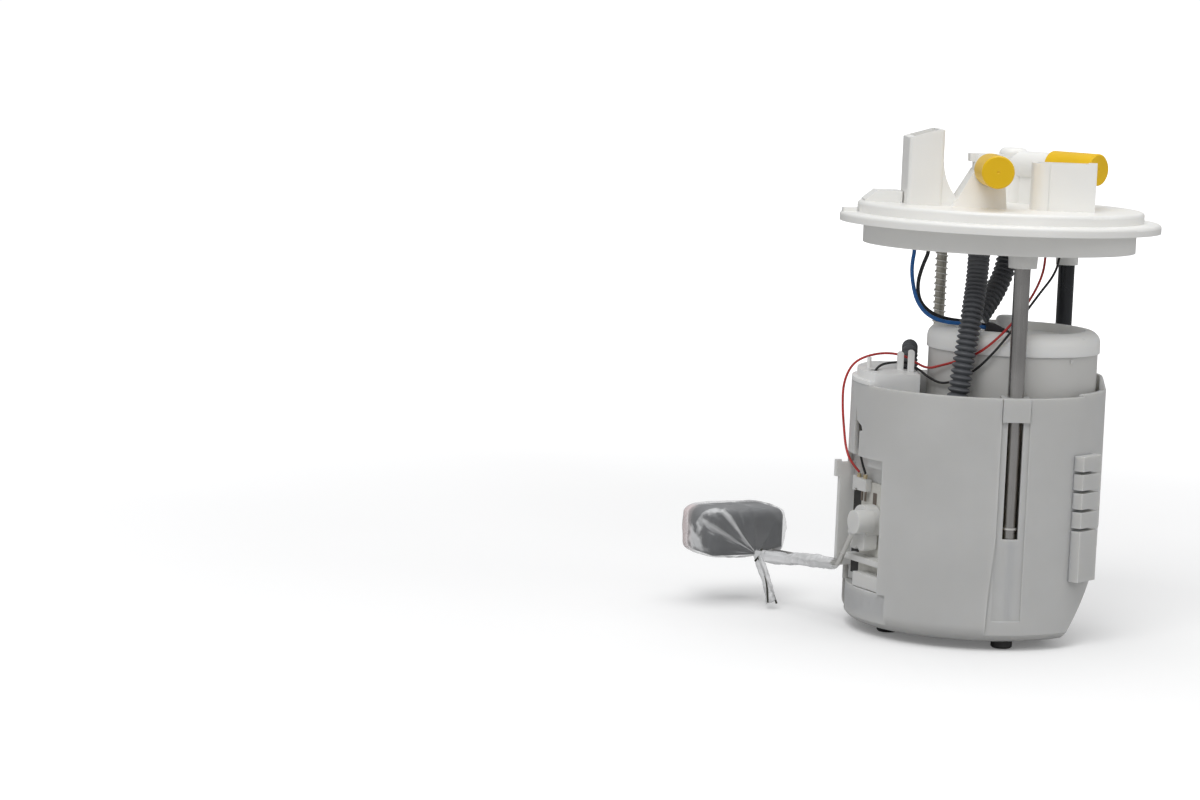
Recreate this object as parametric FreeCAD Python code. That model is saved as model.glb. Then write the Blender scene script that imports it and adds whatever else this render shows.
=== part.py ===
"""Fuel pump module: a flange on three guides that telescopes over a reservoir with pump, filter and float sender.

Millimetres. The origin is the centre of the flange's seat plane, +Z points up and out of the tank,
-Y is the side of the return port and -X the side of the float. Each sub-part is one STEP file in parts/.
Reservoir pieces are drawn with their heights over the floor, flange pieces over the seat.
"""
import FreeCAD, Part
import math
import os
from FreeCAD import Placement, Rotation, Vector

# Overall
SEAT_HEIGHT = 167.0          # tank seat over the floor, with the module at full height
TRAVEL = 30.0                # how far the flange can be pressed towards the reservoir
CLEAR = 0.3                  # free gap between parts that move past each other
SLIDE_FIT = 0.05             # radial clearance of a guide in its eye
SNUG = 0.02                  # radial clearance of a piece that is held fast in a bore

# Flange
RIM_R = 65.0
RIM_THICK = 3.8
STEP_R = 58.0
STEP_HEIGHT = 4.5
SKIRT_R = 55.2
SKIRT_WALL = 2.6
SKIRT_DEPTH = 8.4
PLATE_THICK = 4.0
EDGE_ROUND = 1.5

# Hose ports on the flange
SPIGOT_R = 4.0
PORT_BORE_R = 2.6
RETURN_X = -8.2
RETURN_RISER_Y = -14.0
RETURN_END_Y = -44.2
RETURN_AXIS_UP = 15.4        # over the top of the plate
RISER_R = 6.0
SUPPLY_X = 8.3
SUPPLY_Y = 29.0
SUPPLY_TURN = -49.0          # degrees from +X
SUPPLY_AXIS_UP = 16.1
SUPPLY_REACH = 42.5
SUPPLY_DOME_UP = 22.6
CAP_R = 6.5
CAP_LENGTH = 23.5
CAP_BORE_DEPTH = 20.5

# Electrical shrouds on the flange
TOWER_X = (-40.5, -26.3)
TOWER_Y = (-20.0, 6.0)
TOWER_UP = 30.3
TOWER_FOOT_X = -17.0
SOCKET_WALL = 2.2
TURRET_X = (9.2, 33.8)
TURRET_Y = (-28.0, -11.5)
TURRET_UP = 18.8
PIN_THICK = 0.8
PIN_WIDTH = 2.8
PUMP_PIN_X = (-36.0, -30.5)
PUMP_PIN_Y = -7.0
SENDER_PIN_X = (16.5, 22.5)
SENDER_PIN_Y = -19.0

# Guides between flange and reservoir
FRONT_ROD = (4.5, -39.2)
FRONT_ROD_R = 3.25
FRONT_ROD_END = 44.1         # over the floor
FRONT_CLIP_UP = 4.4          # over the rod's end
CLIP_REACH = 0.6             # how far a clip stands out of its rod
ROD_ROOM = FRONT_ROD_END - TRAVEL - 2.1
REAR_ROD = (-18.0, 39.0)
REAR_ROD_R = 2.15
DROP_TUBE = (33.5, 32.7)
DROP_TUBE_R = 3.4
DROP_TUBE_WALL = 1.0
DROP_TUBE_END = 50.0
SPRING_R = REAR_ROD_R + 0.42
SPRING_WIRE_R = 0.3
SPRING_PITCH = 2.6

# Reservoir cup
CUP_X = -4.0
CUP_Y = 6.0
CUP_R = 52.3
CUP_WALL = 1.9
CUP_FLOOR = 2.2
CUP_BASE = 3.0               # underside over the floor
CUP_RIM = 101.5
CUP_FOOT_ROUND = 7.0
PANEL_STEP = 1.0             # how far the right half lies inside the front panel
GROOVE_DEPTH = 0.4
WINDOW_WIDTH = 6.4
WINDOW_BOTTOM = 45.0
EYE_HEIGHT = 9.5
EYE_WALL = 1.4
REAR_ROD_END = CUP_RIM - EYE_HEIGHT - 6.0
LADDER_TURN = -40.0
LADDER_WIDTH = 13.5
LADDER_DEPTH = 1.2
LADDER_BOTTOM = 27.0
LADDER_TOP = 78.0
RUNG_HEIGHTS = (47.6, 55.3, 63.0, 70.6)
FOOT_R = 4.3
FEET = ((4.6, -35.5), (-38.5, -8.0), (-24.0, 40.0), (22.0, 34.0))

# Filter can and pump, on one axis
CAN_R = 34.4
CAN_GAP = 2.908              # least gap between can and cup
CAN_TURN = math.radians(-18.71)
CAN_OFFSET = CUP_R - CUP_WALL - CAN_R - CAN_GAP
CAN_X = CUP_X + CAN_OFFSET * math.cos(CAN_TURN)
CAN_Y = CUP_Y + CAN_OFFSET * math.sin(CAN_TURN)
CAN_WALL = 1.8
CAN_BOTTOM = 40.0
CAN_TOP = 117.0
LID_R = 35.2
LID_HEIGHT = 9.0
LID_DECK = 3.5               # depth of the lid's recess
LID_BAND = 6.2               # width of the rim round it
LID_ROUND = 5.0
PUMP_R = 19.0
PUMP_SHELL_WALL = 1.4
PUMP_SHELL = (50.0, 102.0)
SHAFT_R = 1.5
BEARING_CLEAR = 0.04
END_CAP_HEIGHT = 9.0
MAGNET_R = 13.9
ARMATURE_R = 13.4
IMPELLER_R = 16.0

# Float sender, drawn in a frame whose X points out of the cup and whose Y points to the front
SENDER_TURN = 205.0
RECESS_FLOOR = 40.0
RECESS_FRONT = 11.0
RECESS_BACK = -27.0
RECESS_BOTTOM = 18.0
RECESS_TOP = 72.0
PIVOT_Y = -6.0
PIVOT_Z = 45.0
PIVOT_R = 2.0
HUB_R = 6.9
HUB_OUT = 49.6
LOBE_R = 4.8
LOBE_OUT = 55.4
ARM_WIRE_R = 1.1
ARM_PLANE = 53.2
ELBOW = (-16.5, 26.2)
ARM_END = (-84.0, 21.4)
FLOAT_SIZE = (36.0, 24.0, 20.0)
FLOAT_INNER_END = 47.0
FLOAT_BOTTOM = 20.5
FILM = 0.5
BAG_ROOM = 3.0

# Hoses and leads
HOSE_R = 4.5
HOSE_BORE_R = 3.6
BYPASS_R = 3.3
BYPASS_BORE_R = 2.2
PUMP_LEAD_R = 0.8
SENDER_LEAD_R = 0.5

PLATE_TOP = RIM_THICK + STEP_HEIGHT
PLATE_UNDER = PLATE_TOP - PLATE_THICK
UP = Vector(0, 0, 1)
SEAT_FRAME = Placement()
FLOOR_FRAME = Placement(Vector(0, 0, -SEAT_HEIGHT), Rotation())
SENDER_FRAME = Placement(Vector(CUP_X, CUP_Y, -SEAT_HEIGHT), Rotation(UP, SENDER_TURN))


# Shared shapes

def cylinder(radius, low, high, x=0.0, y=0.0):
    return Part.makeCylinder(radius, high - low, Vector(x, y, low))


def tube(outer, inner, low, high, x=0.0, y=0.0):
    return cylinder(outer, low, high, x, y).cut(cylinder(inner, low, high, x, y))


def rod_between(radius, start, end):
    along = end - start
    return Part.makeCylinder(radius, along.Length, start, along)


def block(x, y, z):
    return Part.makeBox(x[1] - x[0], y[1] - y[0], z[1] - z[0], Vector(x[0], y[0], z[0]))


def turned_block(angle, near, far, width, z, x=CUP_X, y=CUP_Y):
    """A block that runs outwards from the axis at x, y in the direction of angle."""
    body = block((near, far), (-width / 2, width / 2), z)
    body.Placement = Placement(Vector(x, y, 0), Rotation(UP, angle))
    return body


def prism(outline, low, high):
    points = [Vector(x, y, low) for x, y in outline]
    face = Part.Face(Part.makePolygon(points + points[:1]))
    return face.extrude(Vector(0, 0, high - low))


def upright_plate(edges, y):
    """A closed outline of edges in the XZ plane, made a plate from y[0] to y[1]."""
    face = Part.Face(Part.Wire(edges))
    face.translate(Vector(0, y[0], 0))
    return face.extrude(Vector(0, y[1] - y[0], 0))


def revolved(profile, x=0.0, y=0.0):
    """A solid of revolution from (radius, height) points, about the vertical axis at x, y."""
    points = [Vector(r, 0, z) for r, z in profile]
    face = Part.Face(Part.makePolygon(points + points[:1]))
    body = face.revolve(Vector(0, 0, 0), UP, 360)
    body.translate(Vector(x, y, 0))
    return body


def fused(first, *others):
    return first.fuse(list(others)).removeSplitter()


def rounded(shape, radius, wanted):
    """The shape with the edges that wanted picks rounded."""
    return shape.makeFillet(radius, [edge for edge in shape.Edges if wanted(edge)])


def is_upright(edge):
    if not isinstance(edge.Curve, Part.Line):
        return False
    return abs(edge.Curve.Direction.z) > 0.999


def soft_block(x, y, z, radius):
    return rounded(block(x, y, z), radius, lambda edge: True)


def polar(radius, angle, x=CUP_X, y=CUP_Y):
    turn = math.radians(angle)
    return x + radius * math.cos(turn), y + radius * math.sin(turn)


def in_frame(frame, x, y, z):
    return frame.multVec(Vector(x, y, z))


# Cord routes: straight runs joined by tangent arcs

def route_wire(points, bend=None):
    """The wire along points, and its smallest arc radius. Each arc is 0.45 of the shorter run, or bend."""
    edges = []
    start = points[0]
    smallest = float("inf")
    for before, corner, after in zip(points, points[1:], points[2:]):
        back = before - corner
        on = after - corner
        half_turn = (math.pi - back.getAngle(on)) / 2
        run = min(back.Length, on.Length)
        radius = 0.45 * run / math.tan(half_turn) if bend is None else bend
        reach = radius * math.tan(half_turn)
        smallest = min(smallest, radius)
        back.normalize()
        on.normalize()
        first = corner + back * reach
        last = corner + on * reach
        inward = (back + on).normalize()
        middle = corner + inward * (radius / math.cos(half_turn) - radius)
        if (first - start).Length > 1e-6:
            edges.append(Part.LineSegment(start, first).toShape())
        edges.append(Part.Arc(first, middle, last).toShape())
        start = last
    edges.append(Part.LineSegment(start, points[-1]).toShape())
    return Part.Wire(edges), smallest


def swept(points, radius, bend=None):
    wire, smallest = route_wire(points, bend)
    ring = Part.Wire(Part.Circle(points[0], points[1] - points[0], radius).toShape())
    return wire.makePipeShell([ring], True, False), wire.Length, smallest


def cord(name, points, radius, bore=0.0):
    """A cord's solid, with its length, its smallest radius and its volume over section times length printed."""
    body, length, smallest = swept(points, radius)
    section = math.pi * radius ** 2
    if bore:
        body = body.cut(swept(points, bore)[0])
        section -= math.pi * bore ** 2
    share = body.Volume / (section * length)
    print(f"{name}: length {length:.1f}, smallest radius {smallest:.1f}, volume share {share:.4f}")
    return body


def save(name, shape, frame=SEAT_FRAME):
    placed = shape.copy()
    placed.Placement = frame.multiply(placed.Placement)
    placed.exportStep(f"parts/{name}.step")
    solids = len(placed.Solids)
    print(f"{name}: {solids} solids, volume {placed.Volume:.1f}, valid {placed.isValid()}")


# Flange

def barbed_nipple(x, y, top, bottom, hose_bore):
    """A hose nipple with two barbs, hanging down from top."""
    barb = hose_bore - CLEAR
    neck = barb - 0.5
    length = top - bottom
    profile = [(0, top), (neck, top)]
    for start in (0.45, 0.75):
        high = top - start * length
        profile += [(neck, high), (barb, high), (neck, high - 0.2 * length)]
    profile += [(neck, bottom), (0, bottom)]
    return revolved(profile, x, y)


def flange_disc():
    disc = revolved([
        (0, PLATE_UNDER), (SKIRT_R - SKIRT_WALL, PLATE_UNDER), (SKIRT_R - SKIRT_WALL, -SKIRT_DEPTH),
        (SKIRT_R, -SKIRT_DEPTH), (SKIRT_R, 0), (RIM_R, 0), (RIM_R, RIM_THICK),
        (STEP_R, RIM_THICK), (STEP_R, PLATE_TOP), (0, PLATE_TOP)])

    def outer_edge(edge):
        if not isinstance(edge.Curve, Part.Circle):
            return False
        height = edge.CenterOfMass.z
        rim_top = abs(edge.Curve.Radius - RIM_R) < 0.01 and abs(height - RIM_THICK) < 0.01
        step_top = abs(edge.Curve.Radius - STEP_R) < 0.01 and abs(height - PLATE_TOP) < 0.01
        return rim_top or step_top

    return rounded(disc, EDGE_ROUND, outer_edge)


def pump_socket_tower():
    """The tall shroud of the pump's socket, with a curved foot on its right."""
    top = PLATE_TOP + TOWER_UP
    left, right = TOWER_X
    wall = SOCKET_WALL
    corner = [(left, PLATE_TOP), (left, top - 3.6), (right - 2.4, top), (right, top), (right, PLATE_TOP)]
    points = [Vector(x, 0, z) for x, z in corner]
    edges = Part.makePolygon(points + points[:1]).Edges
    body = rounded(upright_plate(edges, TOWER_Y), 1.5, is_upright)
    foot_top = Vector(right, 0, PLATE_TOP + 17.7)
    foot_middle = Vector(right + 2.4, 0, PLATE_TOP + 8.5)
    foot_end = Vector(TOWER_FOOT_X, 0, PLATE_TOP)
    inner_top = Vector(right - 2.0, 0, PLATE_TOP + 17.7)
    inner_end = Vector(right - 2.0, 0, PLATE_TOP)
    foot = [
        Part.Arc(foot_top, foot_middle, foot_end).toShape(),
        Part.LineSegment(foot_end, inner_end).toShape(),
        Part.LineSegment(inner_end, inner_top).toShape(),
        Part.LineSegment(inner_top, foot_top).toShape()]
    front = upright_plate(foot, (TOWER_Y[0] + 0.8, TOWER_Y[0] + 0.8 + wall))
    back = upright_plate(foot, (TOWER_Y[1] - 0.8 - wall, TOWER_Y[1] - 0.8))
    cavity = block((left + wall, right - wall), (TOWER_Y[0] + wall, TOWER_Y[1] - wall),
                   (PLATE_TOP + 5.0, top + 5.0))
    return fused(body, front, back).cut(cavity)


def sender_socket_turret():
    """The rounded shroud of the sender's socket."""
    top = PLATE_TOP + TURRET_UP
    body = block(TURRET_X, TURRET_Y, (PLATE_TOP - 0.5, top))
    body = rounded(body, 5.4, lambda edge: is_upright(edge) and edge.CenterOfMass.x < TURRET_X[0] + 1)
    wall = SOCKET_WALL
    cavity = block((TURRET_X[0] + wall, TURRET_X[1] - wall), (TURRET_Y[0] + wall, TURRET_Y[1] - wall),
                   (PLATE_TOP + 4.5, top + 1.0))
    cavity = rounded(cavity, 3.2, lambda edge: is_upright(edge) and edge.CenterOfMass.x < TURRET_X[0] + 4)
    seam_x = TURRET_X[0] + 5.6
    seam = block((seam_x, seam_x + 0.5), (TURRET_Y[0] - 1, TURRET_Y[0] + 0.4), (PLATE_TOP, top + 1))
    key = block((TURRET_X[1] - wall - 1.2, TURRET_X[1]), (TURRET_Y[0], TURRET_Y[0] + 1.4), (top - 1, top + 0.9))
    return fused(body.cut(cavity).cut(seam), key)


def return_port():
    """The front port: a sloped pedestal and riser that carry a spigot pointing to the front."""
    axis = PLATE_TOP + RETURN_AXIS_UP
    foot = Part.makePolygon([Vector(x, y, PLATE_TOP - 0.5) for x, y in (
        (-23.0, -25.3), (-1.0, -25.3), (-1.0, -6.0), (-23.0, -6.0), (-23.0, -25.3))])
    head = Part.makePolygon([Vector(x, y, axis) for x, y in (
        (-14.0, -22.4), (-2.4, -22.4), (-2.4, -8.0), (-14.0, -8.0), (-14.0, -22.4))])
    pedestal = Part.makeLoft([foot, head], True, True)
    riser = block((RETURN_X - 5.5, RETURN_X + 5.5), (RETURN_RISER_Y - 6, RETURN_RISER_Y + 6),
                  (PLATE_TOP - 0.5, axis + 5.9))
    riser = rounded(riser, 1.5, is_upright)
    lug = block((RETURN_X - 7.5, RETURN_X), (RETURN_RISER_Y - 4, RETURN_RISER_Y + 4), (axis + 2.7, axis + 5.9))
    spigot = rod_between(SPIGOT_R, Vector(RETURN_X, RETURN_RISER_Y, axis), Vector(RETURN_X, RETURN_END_Y, axis))
    collar = rod_between(CAP_R - 0.4, Vector(RETURN_X, RETURN_RISER_Y, axis),
                         Vector(RETURN_X, RETURN_END_Y + CAP_BORE_DEPTH + CLEAR, axis))
    return fused(pedestal, riser, lug, spigot, collar)


def supply_direction():
    turn = math.radians(SUPPLY_TURN)
    return Vector(math.cos(turn), math.sin(turn), 0)


def supply_port():
    """The rear port: a domed riser with a spigot turned to the front right, on a web."""
    axis = PLATE_TOP + SUPPLY_AXIS_UP
    top = PLATE_TOP + SUPPLY_DOME_UP
    riser = cylinder(RISER_R, PLATE_TOP - 0.5, top, SUPPLY_X, SUPPLY_Y)
    riser = rounded(riser, 2.4, lambda edge: abs(edge.CenterOfMass.z - top) < 0.01)
    root = Vector(SUPPLY_X, SUPPLY_Y, axis)
    along = supply_direction()
    spigot = rod_between(SPIGOT_R, root, root + along * SUPPLY_REACH)
    collar = rod_between(CAP_R - 0.9, root, root + along * (SUPPLY_REACH - CAP_BORE_DEPTH - CLEAR))
    web = turned_block(SUPPLY_TURN, 0, 17.5, 4.0, (PLATE_TOP - 0.5, axis), SUPPLY_X, SUPPLY_Y)
    return fused(riser, spigot, collar, web)


def port_channels():
    """The bores from each spigot down to its hose nipple."""
    nipple_end = PLATE_UNDER - 12.0
    return_axis = PLATE_TOP + RETURN_AXIS_UP
    supply_axis = PLATE_TOP + SUPPLY_AXIS_UP
    return_x, return_y = RETURN_NIPPLE
    root = Vector(SUPPLY_X, SUPPLY_Y, supply_axis)
    return [
        rod_between(PORT_BORE_R, Vector(RETURN_X, RETURN_END_Y - 1, return_axis),
                    Vector(RETURN_X, return_y, return_axis)),
        cylinder(PORT_BORE_R - 0.2, nipple_end - 1, return_axis, return_x, return_y),
        rod_between(PORT_BORE_R, root, root + supply_direction() * (SUPPLY_REACH + 1)),
        cylinder(PORT_BORE_R - 0.2, nipple_end - 1, supply_axis, SUPPLY_X, SUPPLY_Y)]


RETURN_NIPPLE = (-10.4, -20.0)
FRONT_BOSS_END = -14.0
REAR_BOSS_END = -2.0
TUBE_BOSS_END = -17.0
GUIDE_TOP = 2.0              # where the guides end inside their bosses


def flange_plate():
    nipple_end = PLATE_UNDER - 12.0
    front_boss = revolved([(0, PLATE_UNDER + 0.5), (6.9, PLATE_UNDER + 0.5), (5.6, FRONT_BOSS_END),
                           (0, FRONT_BOSS_END)], *FRONT_ROD)
    rear_boss = cylinder(4.4, REAR_BOSS_END, PLATE_UNDER + 0.5, *REAR_ROD)
    tube_boss = cylinder(4.6, TUBE_BOSS_END, PLATE_UNDER + 0.5, *DROP_TUBE)
    outline = [(-56.0, -0.5), (-56.0, 0.8), (-51.3, 4.6), (-41.0, 4.6), (-41.0, -0.5)]
    points = [Vector(x, 0, PLATE_TOP + up) for x, up in outline]
    block_left = upright_plate(Part.makePolygon(points + points[:1]).Edges, (-8.0, 8.0))
    locator = block((-64.2, -58.5), (-3.0, 3.0), (RIM_THICK - 0.5, RIM_THICK + 1.4))
    ribs = [turned_block(angle, 14, SKIRT_R - 1, 1.8, (PLATE_UNDER - 4.0, PLATE_UNDER + 0.5), 0, 0)
            for angle in (-20, 20, 50, 150, 205, 268, 300)]
    body = fused(flange_disc(), pump_socket_tower(), sender_socket_turret(), return_port(), supply_port(),
                 block_left, locator, front_boss, rear_boss, tube_boss,
                 barbed_nipple(*RETURN_NIPPLE, PLATE_UNDER + 0.5, nipple_end, HOSE_BORE_R),
                 barbed_nipple(SUPPLY_X, SUPPLY_Y, PLATE_UNDER + 0.5, nipple_end, HOSE_BORE_R), *ribs)
    for channel in port_channels():
        body = body.cut(channel)
    body = body.cut(cylinder(FRONT_ROD_R + SNUG, FRONT_BOSS_END - 1, GUIDE_TOP, *FRONT_ROD))
    body = body.cut(cylinder(REAR_ROD_R + SNUG, REAR_BOSS_END - 1, GUIDE_TOP, *REAR_ROD))
    body = body.cut(cylinder(DROP_TUBE_R + SNUG, TUBE_BOSS_END - 1, GUIDE_TOP, *DROP_TUBE))
    for x, y, z in terminal_places():
        half_thick = PIN_THICK / 2 + SNUG
        half_wide = PIN_WIDTH / 2 + SNUG
        body = body.cut(block((x - half_thick, x + half_thick), (y - half_wide, y + half_wide),
                              (-SKIRT_DEPTH, z)))
    return body


def terminal_places():
    """Each terminal's x and y, and the height of its blade's tip."""
    pump_tip = PLATE_TOP + 15.0
    sender_tip = PLATE_TOP + 11.0
    return ([(x, PUMP_PIN_Y, pump_tip) for x in PUMP_PIN_X]
            + [(x, SENDER_PIN_Y, sender_tip) for x in SENDER_PIN_X])


TERMINAL_END = -2.0


def socket_terminals():
    blades = [block((x - PIN_THICK / 2, x + PIN_THICK / 2), (y - PIN_WIDTH / 2, y + PIN_WIDTH / 2),
                    (TERMINAL_END, tip)) for x, y, tip in terminal_places()]
    return Part.makeCompound(blades)


def transit_cap():
    """A pushed-on cap, drawn with its closed end at the origin and its mouth towards +Z."""
    cap = revolved([(0, 0), (CAP_R - 0.5, 0), (CAP_R, 0.5), (CAP_R, CAP_LENGTH), (SPIGOT_R + SLIDE_FIT, CAP_LENGTH),
                    (SPIGOT_R + SLIDE_FIT, CAP_LENGTH - CAP_BORE_DEPTH), (0, CAP_LENGTH - CAP_BORE_DEPTH)])
    return cap.cut(Part.makeSphere(0.8, Vector(0, 0, -0.5)))


def capped(tip, outward):
    """The transit cap on a spigot that ends at tip and points outward."""
    cap = transit_cap()
    end = tip + outward * (CAP_LENGTH - CAP_BORE_DEPTH + 0.1)
    cap.Placement = Placement(end, Rotation(UP, outward * -1))
    return cap


# Guides

def guide_rod(place, radius, end, groove_up):
    """A steel rod with a groove for its clip near the lower end."""
    rod = cylinder(radius, end, SEAT_HEIGHT + GUIDE_TOP - 0.2, *place)
    rod = rounded(rod, 0.4, lambda edge: isinstance(edge.Curve, Part.Circle))
    return rod.cut(tube(radius + 1, radius - 0.4, end + groove_up, end + groove_up + 1.0, *place))


def rod_clip(place, radius, end, groove_up):
    """An open retaining ring in the rod's groove."""
    low = end + groove_up + 0.1
    ring = tube(radius + CLIP_REACH, radius - 0.4 + SNUG, low, low + 0.8, *place)
    gap = block((place[0] - 0.9, place[0] + 0.9), (place[1], place[1] + radius + 2), (low - 1, low + 2))
    return ring.cut(gap)


def drop_tube():
    return tube(DROP_TUBE_R, DROP_TUBE_R - DROP_TUBE_WALL, DROP_TUBE_END, SEAT_HEIGHT + GUIDE_TOP - 0.2,
                *DROP_TUBE)


def lift_spring():
    """The coil spring round the rear rod, between the flange's boss and the eye on the cup."""
    low = CUP_RIM + SPRING_WIRE_R + 0.02
    high = SEAT_HEIGHT + REAR_BOSS_END - SPRING_WIRE_R - 0.02
    helix = Part.makeHelix(SPRING_PITCH, high - low, SPRING_R)
    corners = []
    for index in range(6):
        turn = math.radians(60 * index + 30)
        corners.append(Vector(SPRING_R + SPRING_WIRE_R * math.cos(turn), 0, SPRING_WIRE_R * math.sin(turn)))
    section = Part.makePolygon(corners + corners[:1])
    spring = Part.Wire(helix.Edges).makePipeShell([section], True, True)
    spring.translate(Vector(REAR_ROD[0], REAR_ROD[1], low))
    return spring


# Reservoir cup

def cup_body(inset):
    """The cup's outer form shrunk by inset: a drum with a rounded foot whose right side tapers in below."""
    radius = CUP_R - inset
    base = CUP_BASE if inset == 0 else CUP_BASE + CUP_FLOOR
    top = CUP_RIM if inset == 0 else CUP_RIM + 10
    drum = cylinder(radius, base, top, CUP_X, CUP_Y)
    round_r = CUP_FOOT_ROUND - inset
    drum = rounded(drum, round_r, lambda edge: abs(edge.CenterOfMass.z - base) < 0.01
                   and isinstance(edge.Curve, Part.Circle))
    out = CUP_X + CUP_R + 12
    taper = [
        Part.Arc(Vector(CUP_X + radius + 0.6, 0, 47), Vector(CUP_X + radius - 7.0, 0, 25),
                 Vector(CUP_X + radius - 21.5, 0, 0)).toShape(),
        Part.LineSegment(Vector(CUP_X + radius - 21.5, 0, 0), Vector(out, 0, 0)).toShape(),
        Part.LineSegment(Vector(out, 0, 0), Vector(out, 0, 47)).toShape(),
        Part.LineSegment(Vector(out, 0, 47), Vector(CUP_X + radius + 0.6, 0, 47)).toShape()]
    return drum.cut(upright_plate(taper, (CUP_Y - 70, CUP_Y + 70)))


def recess_block(grow):
    body = block((RECESS_FLOOR - grow, CUP_R + 8), (RECESS_BACK - grow, RECESS_FRONT + grow),
                 (RECESS_BOTTOM - grow, RECESS_TOP + grow))
    body.Placement = Placement(Vector(CUP_X, CUP_Y, 0), Rotation(UP, SENDER_TURN))
    return body


def panel_relief():
    """What is taken off the right half of the front, right of the crease, to leave the front panel proud."""
    crease_top = -1.4
    crease_foot = -4.3
    outline = [(crease_foot, 0), (crease_foot + 0.9, 22), (crease_top, 46), (crease_top, CUP_RIM + 1),
               (60, CUP_RIM + 1), (60, 0)]
    points = [Vector(x, -60, z) for x, z in outline]
    slab = Part.Face(Part.makePolygon(points + points[:1])).extrude(Vector(0, 60 + CUP_Y, 0))
    ring = tube(CUP_R + 2, CUP_R - PANEL_STEP, 0, CUP_RIM + 1, CUP_X, CUP_Y)
    groove_ring = tube(CUP_R, CUP_R - PANEL_STEP - GROOVE_DEPTH, 12, CUP_RIM - 4, CUP_X, CUP_Y)
    groove = groove_ring.common(block((crease_top, 10.4), (-60, 0), (0, CUP_RIM)))
    return ring.common(slab).fuse(groove)


def ladder_recess():
    """The shallow upright recess with rungs on the right of the front."""
    floor = CUP_R - PANEL_STEP - LADDER_DEPTH
    cut = turned_block(LADDER_TURN, floor, CUP_R + 3, LADDER_WIDTH, (LADDER_BOTTOM, LADDER_TOP))
    for height in RUNG_HEIGHTS:
        cut = cut.cut(turned_block(LADDER_TURN, CUP_R - 3, CUP_R + 4, LADDER_WIDTH + 1, (height, height + 1.3)))
    return cut


def guide_eyes():
    """Solid ears inside the wall at the rim that carry the three guides."""
    low = CUP_RIM - EYE_HEIGHT
    can_room = cylinder(CAN_R + 0.5, low - 1, CUP_RIM + 1, CAN_X, CAN_Y)
    front = block((FRONT_ROD[0] - 5.6, FRONT_ROD[0] + 5.6), (CUP_Y - CUP_R, FRONT_ROD[1] + 4.6), (low, CUP_RIM))
    rear_reach = math.hypot(REAR_ROD[0] - CUP_X, REAR_ROD[1] - CUP_Y)
    rear_turn = math.degrees(math.atan2(REAR_ROD[1] - CUP_Y, REAR_ROD[0] - CUP_X))
    rear = turned_block(rear_turn, rear_reach - 4.6, CUP_R, 9.2, (low, CUP_RIM))
    tube_reach = math.hypot(DROP_TUBE[0] - CUP_X, DROP_TUBE[1] - CUP_Y)
    tube_turn = math.degrees(math.atan2(DROP_TUBE[1] - CUP_Y, DROP_TUBE[0] - CUP_X))
    right = turned_block(tube_turn, tube_reach - DROP_TUBE_R - EYE_WALL, CUP_R, 11.0, (low, CUP_RIM)).cut(can_room)
    return [front, rear, right]


def can_posts():
    """Three posts on the cup's floor that the filter can stands on."""
    posts = []
    for angle in (60, 180, 285):
        x, y = polar(27.0, angle, CAN_X, CAN_Y)
        posts.append(block((x - 2.5, x + 2.5), (y - 2.5, y + 2.5), (CUP_BASE + 1, CAN_BOTTOM)))
    return posts


STANDPIPE = (-29.0, 22.2)
STANDPIPE_TOP = 84.0
STANDPIPE_R = 3.4
FLOOR_TOP = CUP_BASE + CUP_FLOOR


def in_sender_place(shape):
    """The shape turned from the sender's directions into the cup's."""
    shape.Placement = Placement(Vector(CUP_X, CUP_Y, 0), Rotation(UP, SENDER_TURN))
    return shape


def lead_slot():
    """The pointed slot over the sender's recess where its second lead comes out of the cup."""
    outline = [(-11.4, 19.4), (-10.4, 14.5), (-5.2, 12.5), (-4.4, 10.6), (-7.0, 10.2), (-7.2, -1.0),
               (-12.2, -1.0), (-12.6, 14.5)]
    points = [Vector(CUP_R - 5.3, y, RECESS_TOP + up) for y, up in outline]
    slot = Part.Face(Part.makePolygon(points + points[:1])).extrude(Vector(12, 0, 0))
    return in_sender_place(slot)


def foot_relief():
    """The shallower wall under the sender's recess."""
    ring = tube(CUP_R + 2, CUP_R - 1.2, 0, RECESS_BOTTOM, CUP_X, CUP_Y)
    sector = block((30, CUP_R + 3), (RECESS_BACK - 3.0, RECESS_FRONT + 4.5), (0, RECESS_BOTTOM))
    return ring.common(in_sender_place(sector))


def rim_catch():
    """The higher stretch of the rim on the right, with the catch behind it."""
    outer = CUP_R - PANEL_STEP
    step = tube(outer, outer - CUP_WALL, CUP_RIM - 1, CUP_RIM + 1.0, CUP_X, CUP_Y)
    step = step.common(turned_block(-12, 30, CUP_R + 5, 52, (CUP_RIM - 2, CUP_RIM + 2)))
    catch = revolved([(outer - 2.4, CUP_RIM - 3), (outer - 2.4, CUP_RIM + 5.6), (outer - 1.4, CUP_RIM + 5.6),
                      (outer, CUP_RIM + 1.2), (outer, CUP_RIM - 3)], CUP_X, CUP_Y)
    catch = catch.common(turned_block(-4, 30, CUP_R + 5, 20, (CUP_RIM - 4, CUP_RIM + 8)))
    return [step, catch]


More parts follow.
